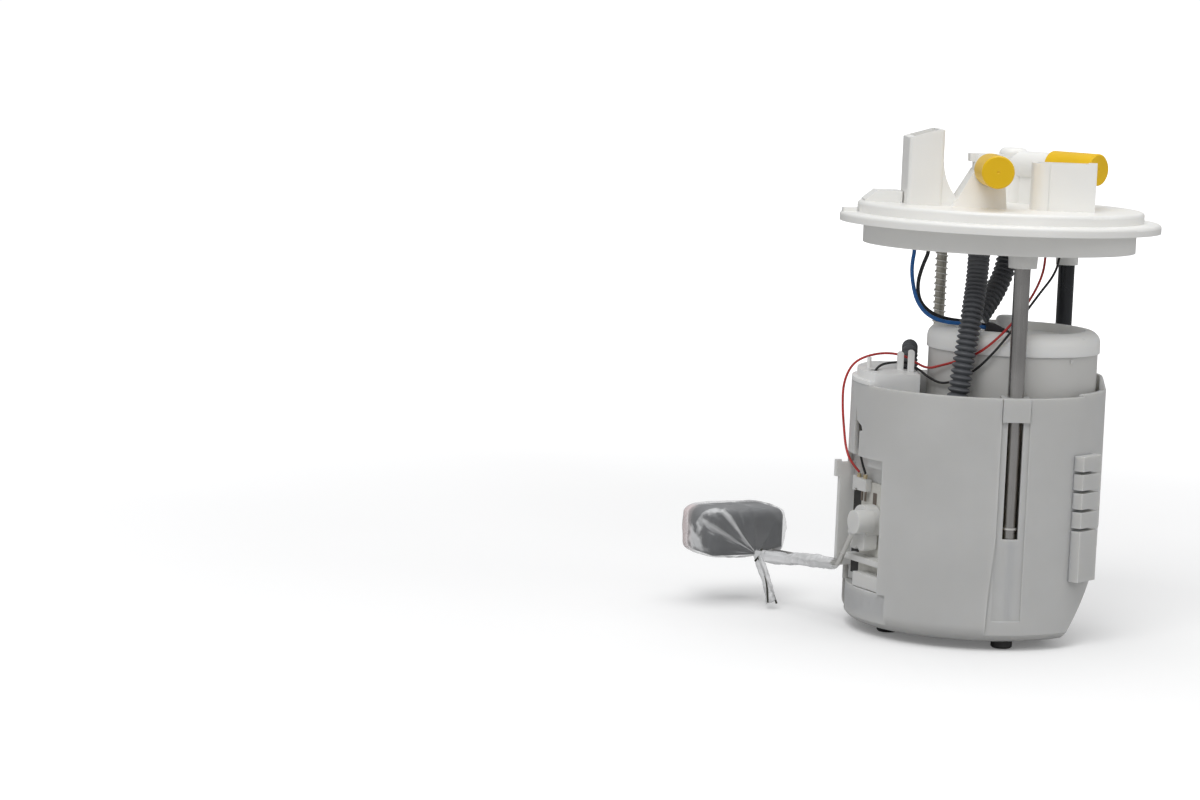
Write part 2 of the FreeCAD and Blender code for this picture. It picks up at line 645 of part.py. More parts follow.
def reservoir_cup():
    outer = cup_body(0).cut(panel_relief()).cut(recess_block(0)).cut(foot_relief())
    solid = cup_body(0)
    inner = cup_body(CUP_WALL + 0.0).cut(recess_block(CUP_WALL))
    thin_front = tube(CUP_R, CUP_R - CUP_WALL - PANEL_STEP, FLOOR_TOP, CUP_RIM + 11, CUP_X, CUP_Y)
    thin_front = thin_front.common(block((-6.0, 60), (-60, CUP_Y + 1), (0, CUP_RIM + 12)))
    cup = outer.cut(inner.cut(thin_front))
    extras = [piece.common(solid) for piece in guide_eyes() + can_posts()]
    standpipe = tube(STANDPIPE_R, 1.2, FLOOR_TOP - 0.5, STANDPIPE_TOP, *STANDPIPE)
    cup = fused(cup, standpipe, *rim_catch(), *extras)
    window = block((FRONT_ROD[0] - WINDOW_WIDTH / 2, FRONT_ROD[0] + WINDOW_WIDTH / 2),
                   (CUP_Y - CUP_R - 2, FRONT_ROD[1] + 1), (WINDOW_BOTTOM, CUP_RIM - EYE_HEIGHT))
    cup = cup.cut(window).cut(ladder_recess()).cut(lead_slot())
    cup = cup.cut(cylinder(FRONT_ROD_R + CLIP_REACH + CLEAR, ROD_ROOM, CUP_RIM - EYE_HEIGHT, *FRONT_ROD))
    cup = cup.cut(cylinder(FRONT_ROD_R + SLIDE_FIT, CUP_RIM - EYE_HEIGHT - 1, CUP_RIM + 1, *FRONT_ROD))
    cup = cup.cut(cylinder(REAR_ROD_R + SLIDE_FIT, CUP_RIM - EYE_HEIGHT - 1, CUP_RIM + 1, *REAR_ROD))
    cup = cup.cut(cylinder(DROP_TUBE_R + SLIDE_FIT, CUP_RIM - EYE_HEIGHT - 1, CUP_RIM + 1, *DROP_TUBE))
    for x, y in FEET:
        cup = cup.cut(cylinder(1.8 + SNUG, 0, FLOOR_TOP + 1, x, y))
    return cup.cut(cylinder(3.0, 0, FLOOR_TOP + 1, *CHECK_VALVE))


def rubber_feet():
    """Button feet, each with a stem through the cup's floor."""
    feet = [revolved([(0, 0), (FOOT_R - 0.6, 0), (FOOT_R, 0.6), (FOOT_R, CUP_BASE), (1.8, CUP_BASE),
                      (1.8, FLOOR_TOP + 0.1), (2.4, FLOOR_TOP + 0.1), (1.2, FLOOR_TOP + 2.0), (0, FLOOR_TOP + 2.0)],
                     x, y) for x, y in FEET]
    return Part.makeCompound(feet)


CHECK_VALVE = (-18.0, 14.0)


def check_valve():
    """The umbrella valve that lets fuel in through the cup's floor."""
    return revolved([(0, CUP_BASE + 0.4), (1.3, CUP_BASE + 0.4), (1.3, FLOOR_TOP), (7.0, FLOOR_TOP + 0.1),
                     (5.0, FLOOR_TOP + 1.2), (1.6, FLOOR_TOP + 2.0), (0, FLOOR_TOP + 2.0)], *CHECK_VALVE)


# Reservoir cover with the wire clip

COVER_LOW = CUP_RIM - 9.5
COVER_TOP = CUP_RIM + 5.0
COVER_X = -31.0
COVER_Y = (-15.5, 35.5)
COVER_WALL = 1.8
LIP_HEIGHT = 1.6


def cover_region(radius, inset, low, high):
    """The plan of the cover between cup and can, shrunk by inset."""
    keep = block((-70, COVER_X - inset), (COVER_Y[0] + inset, COVER_Y[1] - inset), (low, high))
    region = cylinder(radius - inset, low, high, CUP_X, CUP_Y).common(keep)
    return region.cut(cylinder(CAN_R + 2.0 + inset, low, high, CAN_X, CAN_Y))


def left_cover():
    """The cover over the cup's left part, with a lip on the rim, a post and two fingers for the leads."""
    inner_r = CUP_R - CUP_WALL - 0.15
    shell = cover_region(inner_r, 0, COVER_LOW, COVER_TOP)
    shell = shell.cut(cover_region(inner_r, COVER_WALL, COVER_LOW - 1, COVER_TOP - COVER_WALL))
    lip = cover_region(CUP_R, 0, CUP_RIM, CUP_RIM + LIP_HEIGHT)
    lip = lip.cut(cylinder(inner_r - 1, CUP_RIM - 1, CUP_RIM + LIP_HEIGHT + 1, CUP_X, CUP_Y))
    post = cylinder(0.9, COVER_TOP - 0.5, COVER_TOP + 4.3, -49.6, 7.0)
    fingers = []
    for x, y, top in ((-37.4, 2.2, COVER_TOP + 7.5), (-33.6, -2.8, COVER_TOP + 8.8)):
        finger = block((x - 1.25, x + 1.25), (y - 1.2, y + 1.2), (COVER_TOP - 0.5, top))
        fingers.append(rounded(finger, 1.0, lambda edge: edge.CenterOfMass.z > top - 0.01
                               and abs(edge.CenterOfMass.x - x) > 1.0))
    under = COVER_TOP - COVER_WALL
    seat = cylinder(BYPASS_R + 1.1, under - 4.0, under + 0.5, *BYPASS_LEFT)
    body = fused(shell, lip, post, seat, *fingers)
    body = body.cut(cylinder(BYPASS_R + CLEAR, under, COVER_TOP + 1, *BYPASS_LEFT))
    body = body.cut(cylinder(BYPASS_BORE_R - CLEAR, under - 5.0, under + 1, *BYPASS_LEFT))
    body = body.cut(cylinder(BYPASS_R + 1.6, COVER_LOW - 1, COVER_TOP + 3, *BYPASS_RIGHT))
    for place in LEAD_SLOT:
        body = body.cut(cylinder(2.2, under - 1, COVER_TOP + 4.5, *place))
    return body


BYPASS_RIGHT = (-31.3, 23.0)
BYPASS_LEFT = (-33.0, 9.5)
LEAD_SLOT = ((-48.7, -3.5), (-47.2, -0.6))


# Filter can

def filter_can():
    shell = revolved([(0, CAN_BOTTOM), (CAN_R - 1.5, CAN_BOTTOM), (CAN_R, CAN_BOTTOM + 1.5), (CAN_R, CAN_TOP),
                      (CAN_R - CAN_WALL, CAN_TOP), (CAN_R - CAN_WALL, CAN_BOTTOM + CAN_WALL),
                      (0, CAN_BOTTOM + CAN_WALL)], CAN_X, CAN_Y)
    latch = turned_block(-55, CAN_R - 0.5, CAN_R + 0.6, 1.8, (CAN_TOP - 2.6, CAN_TOP - 1.0), CAN_X, CAN_Y)
    return fused(shell, latch).cut(cylinder(INLET_NOSE_R + SNUG, 30, 60, CAN_X, CAN_Y))


INLET_NOSE_R = 16.5
SEAL_R = 0.98
SPIGOT_DEPTH = 4.5


def filter_lid():
    """The lid: a raised rim round a recessed deck, a spigot into the can, a hose nipple and a regulator housing."""
    bottom = CAN_TOP
    top = CAN_TOP + LID_HEIGHT
    deck = top - LID_DECK
    plug_r = CAN_R - CAN_WALL - CLEAR
    groove_r = CAN_R - CAN_WALL - 2 * SEAL_R
    seal_z = bottom - SPIGOT_DEPTH / 2
    inner_rim = LID_R - LID_BAND
    lid = revolved([
        (0, deck), (inner_rim - 1.5, deck), (inner_rim, top), (LID_R, top), (LID_R, bottom), (plug_r, bottom),
        (plug_r, seal_z + 1.1), (groove_r - 0.02, seal_z + 1.1), (groove_r - 0.02, seal_z - 1.1),
        (plug_r, seal_z - 1.1), (plug_r, bottom - SPIGOT_DEPTH), (groove_r - 1.6, bottom - SPIGOT_DEPTH),
        (groove_r - 1.6, deck - 2.5), (0, deck - 2.5)], CAN_X, CAN_Y)
    lid = rounded(lid, LID_ROUND, lambda edge: isinstance(edge.Curve, Part.Circle)
                  and abs(edge.Curve.Radius - LID_R) < 0.01 and abs(edge.CenterOfMass.z - top) < 0.01)
    nub = turned_block(-42, LID_R - 4.0, LID_R - 0.7, 1.8, (top - 4.2, top - 1.8), CAN_X, CAN_Y)
    housing = cylinder(REGULATOR_R + 1.7, deck - 1, top + 2.5, *REGULATOR)
    housing = rounded(housing, 2.0, lambda edge: edge.CenterOfMass.z > top + 2.4)
    start = outlet_start()
    back = outlet_direction() * -1
    boss = rod_between(5.4, start, start + back * 6)
    nipple = rod_between(HOSE_BORE_R - CLEAR, start + outlet_direction() * 7, start + back * 6)
    below = cylinder(2 * LID_R, bottom - LID_R, deck - 2.5, CAN_X, CAN_Y)
    outlet = fused(boss, nipple).cut(below)
    lid = fused(lid, housing, nub, outlet)
    lid = lid.cut(rod_between(PORT_BORE_R - 0.4, start + outlet_direction() * 8, start + back * 9))
    return lid.cut(cylinder(REGULATOR_R + SNUG, deck - 4, deck + 5.0, *REGULATOR))


REGULATOR = (9.9, 26.0)
REGULATOR_R = 4.0


def lid_seal():
    seal = Part.makeTorus(CAN_R - CAN_WALL - SEAL_R - 0.01, SEAL_R)
    seal.translate(Vector(CAN_X, CAN_Y, CAN_TOP - SPIGOT_DEPTH / 2))
    return seal


def filter_element():
    """The pleated paper ring round the pump."""
    low = CAN_BOTTOM + CAN_WALL + 0.2
    high = CAN_TOP - SPIGOT_DEPTH - 0.3
    pleats = 24
    points = []
    for index in range(2 * pleats):
        radius = 31.8 if index % 2 == 0 else 22.5
        x, y = polar(radius, index * 180 / pleats, CAN_X, CAN_Y)
        points.append((x, y))
    return prism(points, low, high).cut(cylinder(PUMP_R + 1.5, low, high, CAN_X, CAN_Y))


def pressure_regulator():
    deck = CAN_TOP + LID_HEIGHT - LID_DECK
    x, y = REGULATOR
    return revolved([(0, deck - 9.0), (2.6, deck - 9.0), (2.6, deck - 6.0), (REGULATOR_R, deck - 6.0),
                     (REGULATOR_R, deck + 2.5), (REGULATOR_R - 1.5, deck + 4.9), (0, deck + 4.9)], x, y)


# Pump

def pump_inlet_cap():
    low = CAN_BOTTOM + CAN_WALL
    high = PUMP_SHELL[0]
    cap = revolved([(0, 27.0), (5.0, 27.0), (5.0, 33.0), (INLET_NOSE_R, 37.0), (INLET_NOSE_R, low), (PUMP_R, low),
                    (PUMP_R, high), (0, high)], CAN_X, CAN_Y)
    chamber = cylinder(IMPELLER_R + CLEAR, low + 2.2, low + 6.2, CAN_X, CAN_Y)
    bearing = cylinder(SHAFT_R + BEARING_CLEAR, low + 0.8, high + 1, CAN_X, CAN_Y)
    inlet = cylinder(2.6, 26.0, 36.0, CAN_X, CAN_Y)
    feed = cylinder(1.8, 35.0, low + 3, CAN_X + 10.0, CAN_Y)
    link = rod_between(1.8, Vector(CAN_X, CAN_Y, 35.4), Vector(CAN_X + 10.0, CAN_Y, 38.6))
    return cap.cut(chamber).cut(bearing).cut(inlet).cut(feed).cut(link)


def pump_shell():
    return tube(PUMP_R, PUMP_R - PUMP_SHELL_WALL, *PUMP_SHELL, CAN_X, CAN_Y)


def pump_magnets():
    ring = tube(PUMP_R - PUMP_SHELL_WALL - SNUG, MAGNET_R, PUMP_SHELL[0] + 6.0, PUMP_SHELL[1] - 8.0, CAN_X, CAN_Y)
    gap = block((CAN_X - 5.5, CAN_X + 5.5), (CAN_Y - PUMP_R, CAN_Y + PUMP_R), (PUMP_SHELL[0], PUMP_SHELL[1]))
    return ring.cut(gap)


def pump_end_cap():
    low, high = PUMP_SHELL[1], PUMP_SHELL[1] + END_CAP_HEIGHT
    cap = revolved([(0, low - 3), (PUMP_R - PUMP_SHELL_WALL - SNUG, low - 3), (PUMP_R - PUMP_SHELL_WALL - SNUG, low),
                    (PUMP_R, low), (PUMP_R, high - 2), (PUMP_R - 3.0, high), (0, high)], CAN_X, CAN_Y)
    outlet = cylinder(3.4, high - 1, high + 5.0, CAN_X - 9.0, CAN_Y + 4.0)
    bearing = cylinder(SHAFT_R + BEARING_CLEAR, low - 4, low + 4.2, CAN_X, CAN_Y)
    channel = cylinder(1.6, low - 4, high + 6, CAN_X - 9.0, CAN_Y + 4.0)
    return fused(cap, outlet).cut(bearing).cut(channel)


def armature():
    """The wound rotor with its commutator, on the shaft that also turns the impeller."""
    core = cylinder(ARMATURE_R, 58.0, 92.0, CAN_X, CAN_Y)
    for index in range(8):
        core = core.cut(turned_block(index * 45, ARMATURE_R - 3.0, ARMATURE_R + 1, 1.6, (57, 93), CAN_X, CAN_Y))
    commutator = cylinder(6.0, 91.5, 97.0, CAN_X, CAN_Y)
    shaft = cylinder(SHAFT_R, CAN_BOTTOM + CAN_WALL + 1.2, PUMP_SHELL[1] + 4.0, CAN_X, CAN_Y)
    return fused(core, commutator, shaft)


def impeller():
    low = CAN_BOTTOM + CAN_WALL + 2.5
    disc = tube(IMPELLER_R, SHAFT_R + SNUG, low, low + 3.4, CAN_X, CAN_Y)
    for index in range(16):
        vane_gap = turned_block(index * 22.5, IMPELLER_R - 2.6, IMPELLER_R - 0.8, 2.0, (low - 1, low + 5), CAN_X, CAN_Y)
        disc = disc.cut(vane_gap)
    return disc


def pump_sleeve():
    """The rubber ring that holds the pump against the lid."""
    low = PUMP_SHELL[1] + END_CAP_HEIGHT
    high = CAN_TOP + LID_HEIGHT - LID_DECK - 2.5
    sleeve = tube(PUMP_R - 3.5, PUMP_R - 6.0, low, high, CAN_X, CAN_Y)
    return sleeve.cut(cylinder(4.4, low - 1, high + 1, CAN_X - 9.0, CAN_Y + 4.0))


def inlet_strainer():
    """The mesh sock on the pump's inlet, lying over the cup's floor."""
    pad = block((CAN_X - 20, CAN_X + 14), (CAN_Y - 12, CAN_Y + 12), (15.0, 20.5))
    pad = rounded(pad, 2.4, lambda edge: True)
    neck = tube(6.8, 5.0 + SNUG, 20.0, 31.0, CAN_X, CAN_Y)
    return fused(pad, neck).cut(cylinder(2.6, 19.0, 28.0, CAN_X, CAN_Y))


# Jet pump

JET_INLET = polar(CUP_R - 10.33, -111.67)
JET_TOP = 38.0


def jet_pump():
    """The venturi on the floor, with the upright pipe that takes the return hose."""
    x, y = JET_INLET
    pipe = cylinder(4.6, FLOOR_TOP + CLEAR, JET_TOP, x, y)
    nipple = cylinder(HOSE_BORE_R - CLEAR, JET_TOP - 0.5, JET_TOP + 8.0, x, y)
    start = Vector(x - 4, y + 2, FLOOR_TOP + 5)
    end = Vector(-25.0, -2.0, FLOOR_TOP + 5)
    barrel = rod_between(4.6, start, end)
    foot = block((x - 3, x + 6), (y - 1, y + 9), (FLOOR_TOP, FLOOR_TOP + 4))
    body = fused(pipe, nipple, barrel, foot)
    body = body.cut(cylinder(1.6, FLOOR_TOP + 5, JET_TOP + 9, x, y))
    return body.cut(rod_between(1.6, Vector(x, y, FLOOR_TOP + 5), end + (end - start) * 0.1))


# Float sender

def sender_housing():
    """The sender's moulded base in the cup's recess: plate, back wall with a clip tab, ledges and pivot post."""
    inner = RECESS_FLOOR + 0.2
    plate = block((inner, inner + 2.2), (RECESS_BACK + 0.4, RECESS_FRONT - 0.4), (RECESS_BOTTOM + 0.3, RECESS_TOP - 0.4))
    wall = block((inner, SENDER_FLANK), (RECESS_BACK + 0.4, RECESS_BACK + 2.2), (RECESS_BOTTOM + 6, RECESS_TOP - 5))
    tab = block((SENDER_FLANK - 0.5, SENDER_FLANK + 1.9), (RECESS_BACK + 0.4, RECESS_BACK + 2.2),
                (RECESS_TOP - 11.0, RECESS_TOP - 4.0))
    top_ledge = block((inner, 49.0), (-4.0, RECESS_FRONT - 0.4), (RECESS_TOP - 4.0, RECESS_TOP - 0.4))
    rail = block((inner, 47.0), (RECESS_FRONT - 2.4, RECESS_FRONT - 0.4), (RECESS_BOTTOM + 0.3, RECESS_TOP - 0.4))
    low_ledge = block((inner, 50.0), (-10.0, RECESS_FRONT - 0.4), (RECESS_BOTTOM + 0.3, RECESS_BOTTOM + 6.0))
    shelf = block((inner, 49.0), (-20.0, RECESS_FRONT - 0.4), (RECESS_BOTTOM + 10.0, RECESS_BOTTOM + 12.4))
    clip = block((CARD_FACE + 0.1, CARD_FACE + 3.0), (-15.6, -9.2), (CLIP_LOW - 0.4, CLIP_TOP))
    post = rod_between(PIVOT_R, Vector(inner, PIVOT_Y, PIVOT_Z), Vector(HUB_OUT - 0.4, PIVOT_Y, PIVOT_Z))
    bridge = block((inner, CARD_FACE + 1.8), (-21.5, -19.5), (CLIP_LOW - 1.0, CLIP_TOP + 0.4))
    clip_arm = block((CARD_FACE + 0.1, CARD_FACE + 1.8), (-21.5, -9.2), (CLIP_LOW, CLIP_TOP))
    body = fused(plate, wall, tab, top_ledge, rail, low_ledge, bridge, clip_arm, clip, shelf, post)
    room = block((inner + 2.2, CARD_FACE + 0.1), (CARD_Y[0] - 0.1, CARD_Y[1] + 0.1), (CARD_Z[0] - 0.1, CARD_Z[1] + 0.1))
    post_again = rod_between(PIVOT_R, Vector(inner, PIVOT_Y, PIVOT_Z), Vector(HUB_OUT - 0.4, PIVOT_Y, PIVOT_Z))
    return fused(body.cut(room), post_again)


CARD_Y = (-23.0, 7.0)
CARD_Z = (21.5, 60.5)
CARD_FACE = 43.4
SENDER_FLANK = 49.4
CLIP_LOW = 57.0
CLIP_TOP = 61.6
TAG_PLACES = (-17.5, -12.6)
SPRING_PLACES = (-14.2, -11.4)


def sender_card():
    """The ceramic resistor card behind the hub."""
    inner = RECESS_FLOOR + 0.2 + 2.2
    card = block((inner + 0.02, CARD_FACE), CARD_Y, CARD_Z)
    return card.cut(rod_between(PIVOT_R + 0.3, Vector(40, PIVOT_Y, PIVOT_Z), Vector(50, PIVOT_Y, PIVOT_Z)))


def sender_terminals():
    """The two solder tags above the clip block."""
    near = CARD_FACE + 0.8
    tags = [block((near, near + 0.8), (y - 1.0, y + 1.0), (CLIP_TOP, CLIP_TOP + 1.6)) for y in TAG_PLACES]
    return Part.makeCompound(tags)


def contact_springs():
    """Two thin springs from the clip block down to the hub's rim."""
    near = CARD_FACE + 1.2
    low, high = CLIP_LOW - 4.6, CLIP_LOW - 0.4
    springs = [block((near, near + 0.5), (y - 0.5, y + 0.5), (low, high)) for y in SPRING_PLACES]
    return Part.makeCompound(springs)


def arm_hub():
    """The hub that turns on the post, with the ear that grips the arm wire."""
    low = CARD_FACE + 0.4
    drum = rod_between(HUB_R, Vector(low, PIVOT_Y, PIVOT_Z), Vector(HUB_OUT, PIVOT_Y, PIVOT_Z))
    hook_y, hook_z = hook_place()
    lobe = rod_between(LOBE_R, Vector(HUB_OUT - 2.0, hook_y, hook_z - 1.0), Vector(LOBE_OUT, hook_y, hook_z - 1.0))
    hook = Vector(ARM_PLANE, hook_y, hook_z)
    down = (Vector(ARM_PLANE, *ELBOW) - hook).normalize()
    jaw = rod_between(ARM_WIRE_R + 0.8, hook + down * 2.0, hook + down * (LOBE_R + 2.6))
    grip = block((low + 0.6, HUB_OUT + 0.8), (PIVOT_Y - 6.5, PIVOT_Y + 4.5), (PIVOT_Z - 11.5, PIVOT_Z - 4.0))
    grip = rounded(grip, 1.5, lambda edge: edge.CenterOfMass.z < PIVOT_Z - 11.4 and edge.Length < 8)
    notch = rod_between(1.4, Vector(low, PIVOT_Y - 1.0, PIVOT_Z - 11.8), Vector(LOBE_OUT, PIVOT_Y - 1.0, PIVOT_Z - 11.8))
    hub = fused(drum, lobe, jaw, grip).cut(notch)
    hub = hub.cut(rod_between(PIVOT_R + SLIDE_FIT, Vector(low - 1, PIVOT_Y, PIVOT_Z),
                              Vector(HUB_OUT + 0.6, PIVOT_Y, PIVOT_Z)))
    return hub.cut(arm_path(ARM_WIRE_R + SNUG))


def card_wiper():
    """The thin wiper on the hub that rubs on the card."""
    return block((CARD_FACE + 0.05, CARD_FACE + 0.4), (PIVOT_Y - 1.2, PIVOT_Y + 1.2), (PIVOT_Z + 3.0, PIVOT_Z + 11.5))


def hook_place():
    """Where the arm's wire turns into the hub."""
    return PIVOT_Y + 3.6, PIVOT_Z + 1.6


def arm_path(radius):
    """The float arm's wire: hooked into the hub, down to the elbow, out to the float and under it."""
    hook_y, hook_z = hook_place()
    points = [
        Vector(ARM_PLANE - 5.2, hook_y, hook_z), Vector(ARM_PLANE, hook_y, hook_z), Vector(ARM_PLANE, *ELBOW),
        Vector(ARM_PLANE, *ARM_END), Vector(FLOAT_INNER_END + 31.0, *ARM_END),
        Vector(FLOAT_INNER_END + 31.0, ARM_END[0], ARM_END[1] + 8.0)]
    wire, length, smallest = swept(points, radius, bend=2.4)
    return wire


def float_body():
    length, depth, height = FLOAT_SIZE
    middle = ARM_END[0]
    body = soft_block((FLOAT_INNER_END, FLOAT_INNER_END + length), (middle - depth / 2, middle + depth / 2),
                      (FLOAT_BOTTOM, FLOAT_BOTTOM + height), 4.0)
    return body.cut(arm_path(ARM_WIRE_R + SLIDE_FIT))


NECK = (58.0, -78.0, 13.4)
NECK_R = 1.9
TIE_R = 0.5


def float_bag():
    """The clear transit bag round the float, closed film with a neck below."""
    length, depth, height = FLOAT_SIZE
    middle = ARM_END[0]
    x = (FLOAT_INNER_END - BAG_ROOM, FLOAT_INNER_END + length + BAG_ROOM + 1.0)
    y = (middle - depth / 2 - BAG_ROOM, middle + depth / 2 + BAG_ROOM)
    z = (FLOAT_BOTTOM - BAG_ROOM, FLOAT_BOTTOM + height + BAG_ROOM)
    outer = soft_block(x, y, z, 6.0)
    inner = soft_block((x[0] + FILM, x[1] - FILM), (y[0] + FILM, y[1] - FILM), (z[0] + FILM, z[1] - FILM), 5.5)
    neck_x, neck_y, neck_z = NECK
    throat = neck_z + 2.4
    neck = cylinder(NECK_R, neck_z, throat + 0.1, neck_x, neck_y)
    flare = Part.makeCone(NECK_R, NECK_R + 2.6, z[0] - throat + 0.3, Vector(neck_x, neck_y, throat))
    return fused(outer, neck, flare).cut(inner).cut(arm_path(ARM_WIRE_R + CLEAR))


def arm_sleeve():
    """The film sleeve round the arm between the elbow and the bag."""
    start = Vector(ARM_PLANE, *ELBOW)
    end = Vector(ARM_PLANE, *ARM_END)
    along = (end - start).normalize()
    first = start + along * 3.0
    bag_face = ARM_END[0] + FLOAT_SIZE[1] / 2 + BAG_ROOM
    reach = (first.y - bag_face) / abs(along.y) - CLEAR
    sleeve = Part.makeCone(2.0, 3.4, reach, first, along)
    return sleeve.cut(arm_path(ARM_WIRE_R + 0.1))


def bag_tail():
    """The end of the bag below the tie."""
    x, y, z = NECK
    top = Part.Wire(Part.Circle(Vector(x, y, z), UP, NECK_R).toShape())
    low = Part.Ellipse(Vector(x - 1.0, y + 8.0, 3.0), 3.6, 1.6).toShape()
    return Part.makeLoft([top, Part.Wire(low)], True, True)


def twist_tie():
    """The wire tie round the bag's neck."""
    x, y, z = NECK
    ring = Part.makeTorus(NECK_R + TIE_R + 0.1, TIE_R)
    ring.translate(Vector(x, y, z + 1.2))
    return ring


# Hoses and leads, in heights over the floor

def vectors(rows):
    return [Vector(*row) for row in rows]


RETURN_HOSE = vectors([
    (-10.4, -20.0, 168.0), (-10.4, -20.8, 150.0), (-14.0, -31.4, 129.0), (-17.0, -33.6, 108.0),
    (-19.4, -33.9, 84.0), (-19.9, -33.3, 62.0), (*JET_INLET, JET_TOP + 0.3)])
SUPPLY_HOSE = vectors([
    (8.3, 29.0, 167.5), (8.2, 28.6, 158.0), (7.4, 27.6, 148.5), (3.6, 23.6, 139.8), (-1.4, 17.8, 132.7),
    (-6.5, 12.0, 126.0)])
BYPASS_HOSE = vectors([
    (*BYPASS_LEFT, COVER_TOP - COVER_WALL + 0.02), (-33.0, 9.5, 111.8), (-32.2, 16.2, 115.7), (-31.3, 23.0, 111.8),
    (-30.8, 23.4, 103.2), (-29.6, 22.8, 93.6), (*STANDPIPE, STANDPIPE_TOP + 0.3)])
PUMP_LEAD_BLUE = vectors([
    (-36.0, -7.0, 164.7), (-34.6, -7.2, 158.0), (-35.9, -7.6, 150.0), (-35.2, -8.4, 143.0),
    (-33.2, -8.8, 135.6), (-28.4, -8.8, 130.0), (-21.0, -8.6, 127.6), (-12.5, -8.2, 127.4),
    (-4.6, -6.8, 126.0)])
PUMP_LEAD_BLACK = vectors([
    (-30.5, -7.0, 164.7), (-28.4, -7.2, 157.6), (-31.4, -6.6, 150.0), (-33.0, -5.8, 142.6),
    (-31.8, -5.2, 135.6), (-27.2, -5.0, 131.0), (-20.4, -5.1, 128.6), (-12.0, -5.0, 128.0),
    (-4.6, -3.6, 126.6)])
SENDER_LEAD_RED = vectors([
    (16.5, -19.0, 164.7), (16.2, -21.5, 157.5), (14.6, -26.2, 149.0), (9.0, -30.4, 138.6),
    (0.5, -33.4, 127.8), (-8.6, -31.8, 118.6), (-16.2, -24.6, 114.0), (-23.0, -17.0, 110.9),
    (-27.4, -8.3, 108.4), (-31.8, 0.6, 110.2), (-36.2, 5.2, 112.4), (-43.5, 8.0, 112.8),
    (-51.0, 11.6, 110.6), (-56.0, 15.6, 106.6), (-58.9, 17.2, 98.5), (-58.8, 16.0, 88.5),
    (-58.0, 13.4, 80.0), (-57.2, 11.0, 72.8), (-55.4, 7.2, 67.4), (-51.9, 3.1, 63.75)])
SENDER_LEAD_BLACK = vectors([
    (22.5, -19.0, 164.7), (21.9, -21.8, 157.0), (19.4, -26.0, 149.8), (13.0, -29.3, 142.0),
    (4.6, -33.6, 130.6), (-2.6, -34.0, 120.6), (-10.6, -29.9, 110.6), (-18.2, -23.3, 105.4),
    (-22.6, -16.6, 103.4), (-26.6, -8.6, 104.8), (-30.6, -1.9, 107.8), (-35.0, 4.4, 109.6),
    (-40.6, 6.6, 109.0), (-45.6, 2.6, 108.2), (-48.6, -3.0, 105.6), (-49.0, -4.6, 98.5), (-50.2, -5.4, 91.0),
    (-52.5, -6.3, 84.0), (-53.4, -6.8, 77.5), (-52.3, -4.4, 69.9), (-49.8, -1.5, 63.75)])


def outlet_direction():
    return (SUPPLY_HOSE[-2] - SUPPLY_HOSE[-1]).normalize()


def outlet_start():
    return SUPPLY_HOSE[-1]


def pump_plug():
    """The dark plug on the lid that the pump leads run into."""
    deck = CAN_TOP + LID_HEIGHT - LID_DECK
    outline = [(-4.3, 0), (5.2, 0), (5.2, 2.4), (-0.8, 5.2), (-4.3, 5.6)]
    points = [Vector(x, 0, deck + up) for x, up in outline]
    body = upright_plate(Part.makePolygon(points + points[:1]).Edges, (-8.6, -2.6))
    latch = block((0.5, 3.5), (-9.4, -8.0), (deck + 0.6, deck + 2.6))
    return fused(body, latch)


def write_flange():
    save("flange_plate", flange_plate())
    save("socket_terminals", socket_terminals())
    along = supply_direction()
    supply_tip = Vector(SUPPLY_X, SUPPLY_Y, PLATE_TOP + SUPPLY_AXIS_UP) + along * SUPPLY_REACH
    return_tip = Vector(RETURN_X, RETURN_END_Y, PLATE_TOP + RETURN_AXIS_UP)
    save("supply_cap", capped(supply_tip, along))
    save("return_cap", capped(return_tip, Vector(0, -1, 0)))
    save("front_guide_rod", guide_rod(FRONT_ROD, FRONT_ROD_R, FRONT_ROD_END, FRONT_CLIP_UP), FLOOR_FRAME)
    save("front_rod_clip", rod_clip(FRONT_ROD, FRONT_ROD_R, FRONT_ROD_END, FRONT_CLIP_UP), FLOOR_FRAME)
    save("rear_guide_rod", guide_rod(REAR_ROD, REAR_ROD_R, REAR_ROD_END, FRONT_CLIP_UP), FLOOR_FRAME)
    save("rear_rod_clip", rod_clip(REAR_ROD, REAR_ROD_R, REAR_ROD_END, FRONT_CLIP_UP), FLOOR_FRAME)
    save("drop_tube", drop_tube(), FLOOR_FRAME)
    save("lift_spring", lift_spring(), FLOOR_FRAME)


def write_reservoir():
    for name, make in (
            ("reservoir_cup", reservoir_cup), ("rubber_feet", rubber_feet), ("check_valve", check_valve),
            ("left_cover", left_cover), ("filter_can", filter_can), ("filter_lid", filter_lid),
            ("lid_seal", lid_seal), ("filter_element", filter_element), ("pressure_regulator", pressure_regulator),
            ("pump_inlet_cap", pump_inlet_cap), ("pump_shell", pump_shell), ("pump_magnets", pump_magnets),
            ("pump_end_cap", pump_end_cap), ("pump_sleeve", pump_sleeve), ("armature", armature),
            ("impeller", impeller), ("inlet_strainer", inlet_strainer), ("jet_pump", jet_pump),
            ("pump_plug", pump_plug)):
        save(name, make(), FLOOR_FRAME)


def write_sender():
    for name, make in (
            ("sender_housing", sender_housing), ("sender_card", sender_card), ("sender_terminals", sender_terminals),
            ("contact_springs", contact_springs), ("arm_hub", arm_hub), ("card_wiper", card_wiper),
            ("float_body", float_body), ("float_bag", float_bag), ("arm_sleeve", arm_sleeve),
            ("bag_tail", bag_tail), ("twist_tie", twist_tie)):
        save(name, make(), SENDER_FRAME)
    save("arm_wire", arm_path(ARM_WIRE_R), SENDER_FRAME)


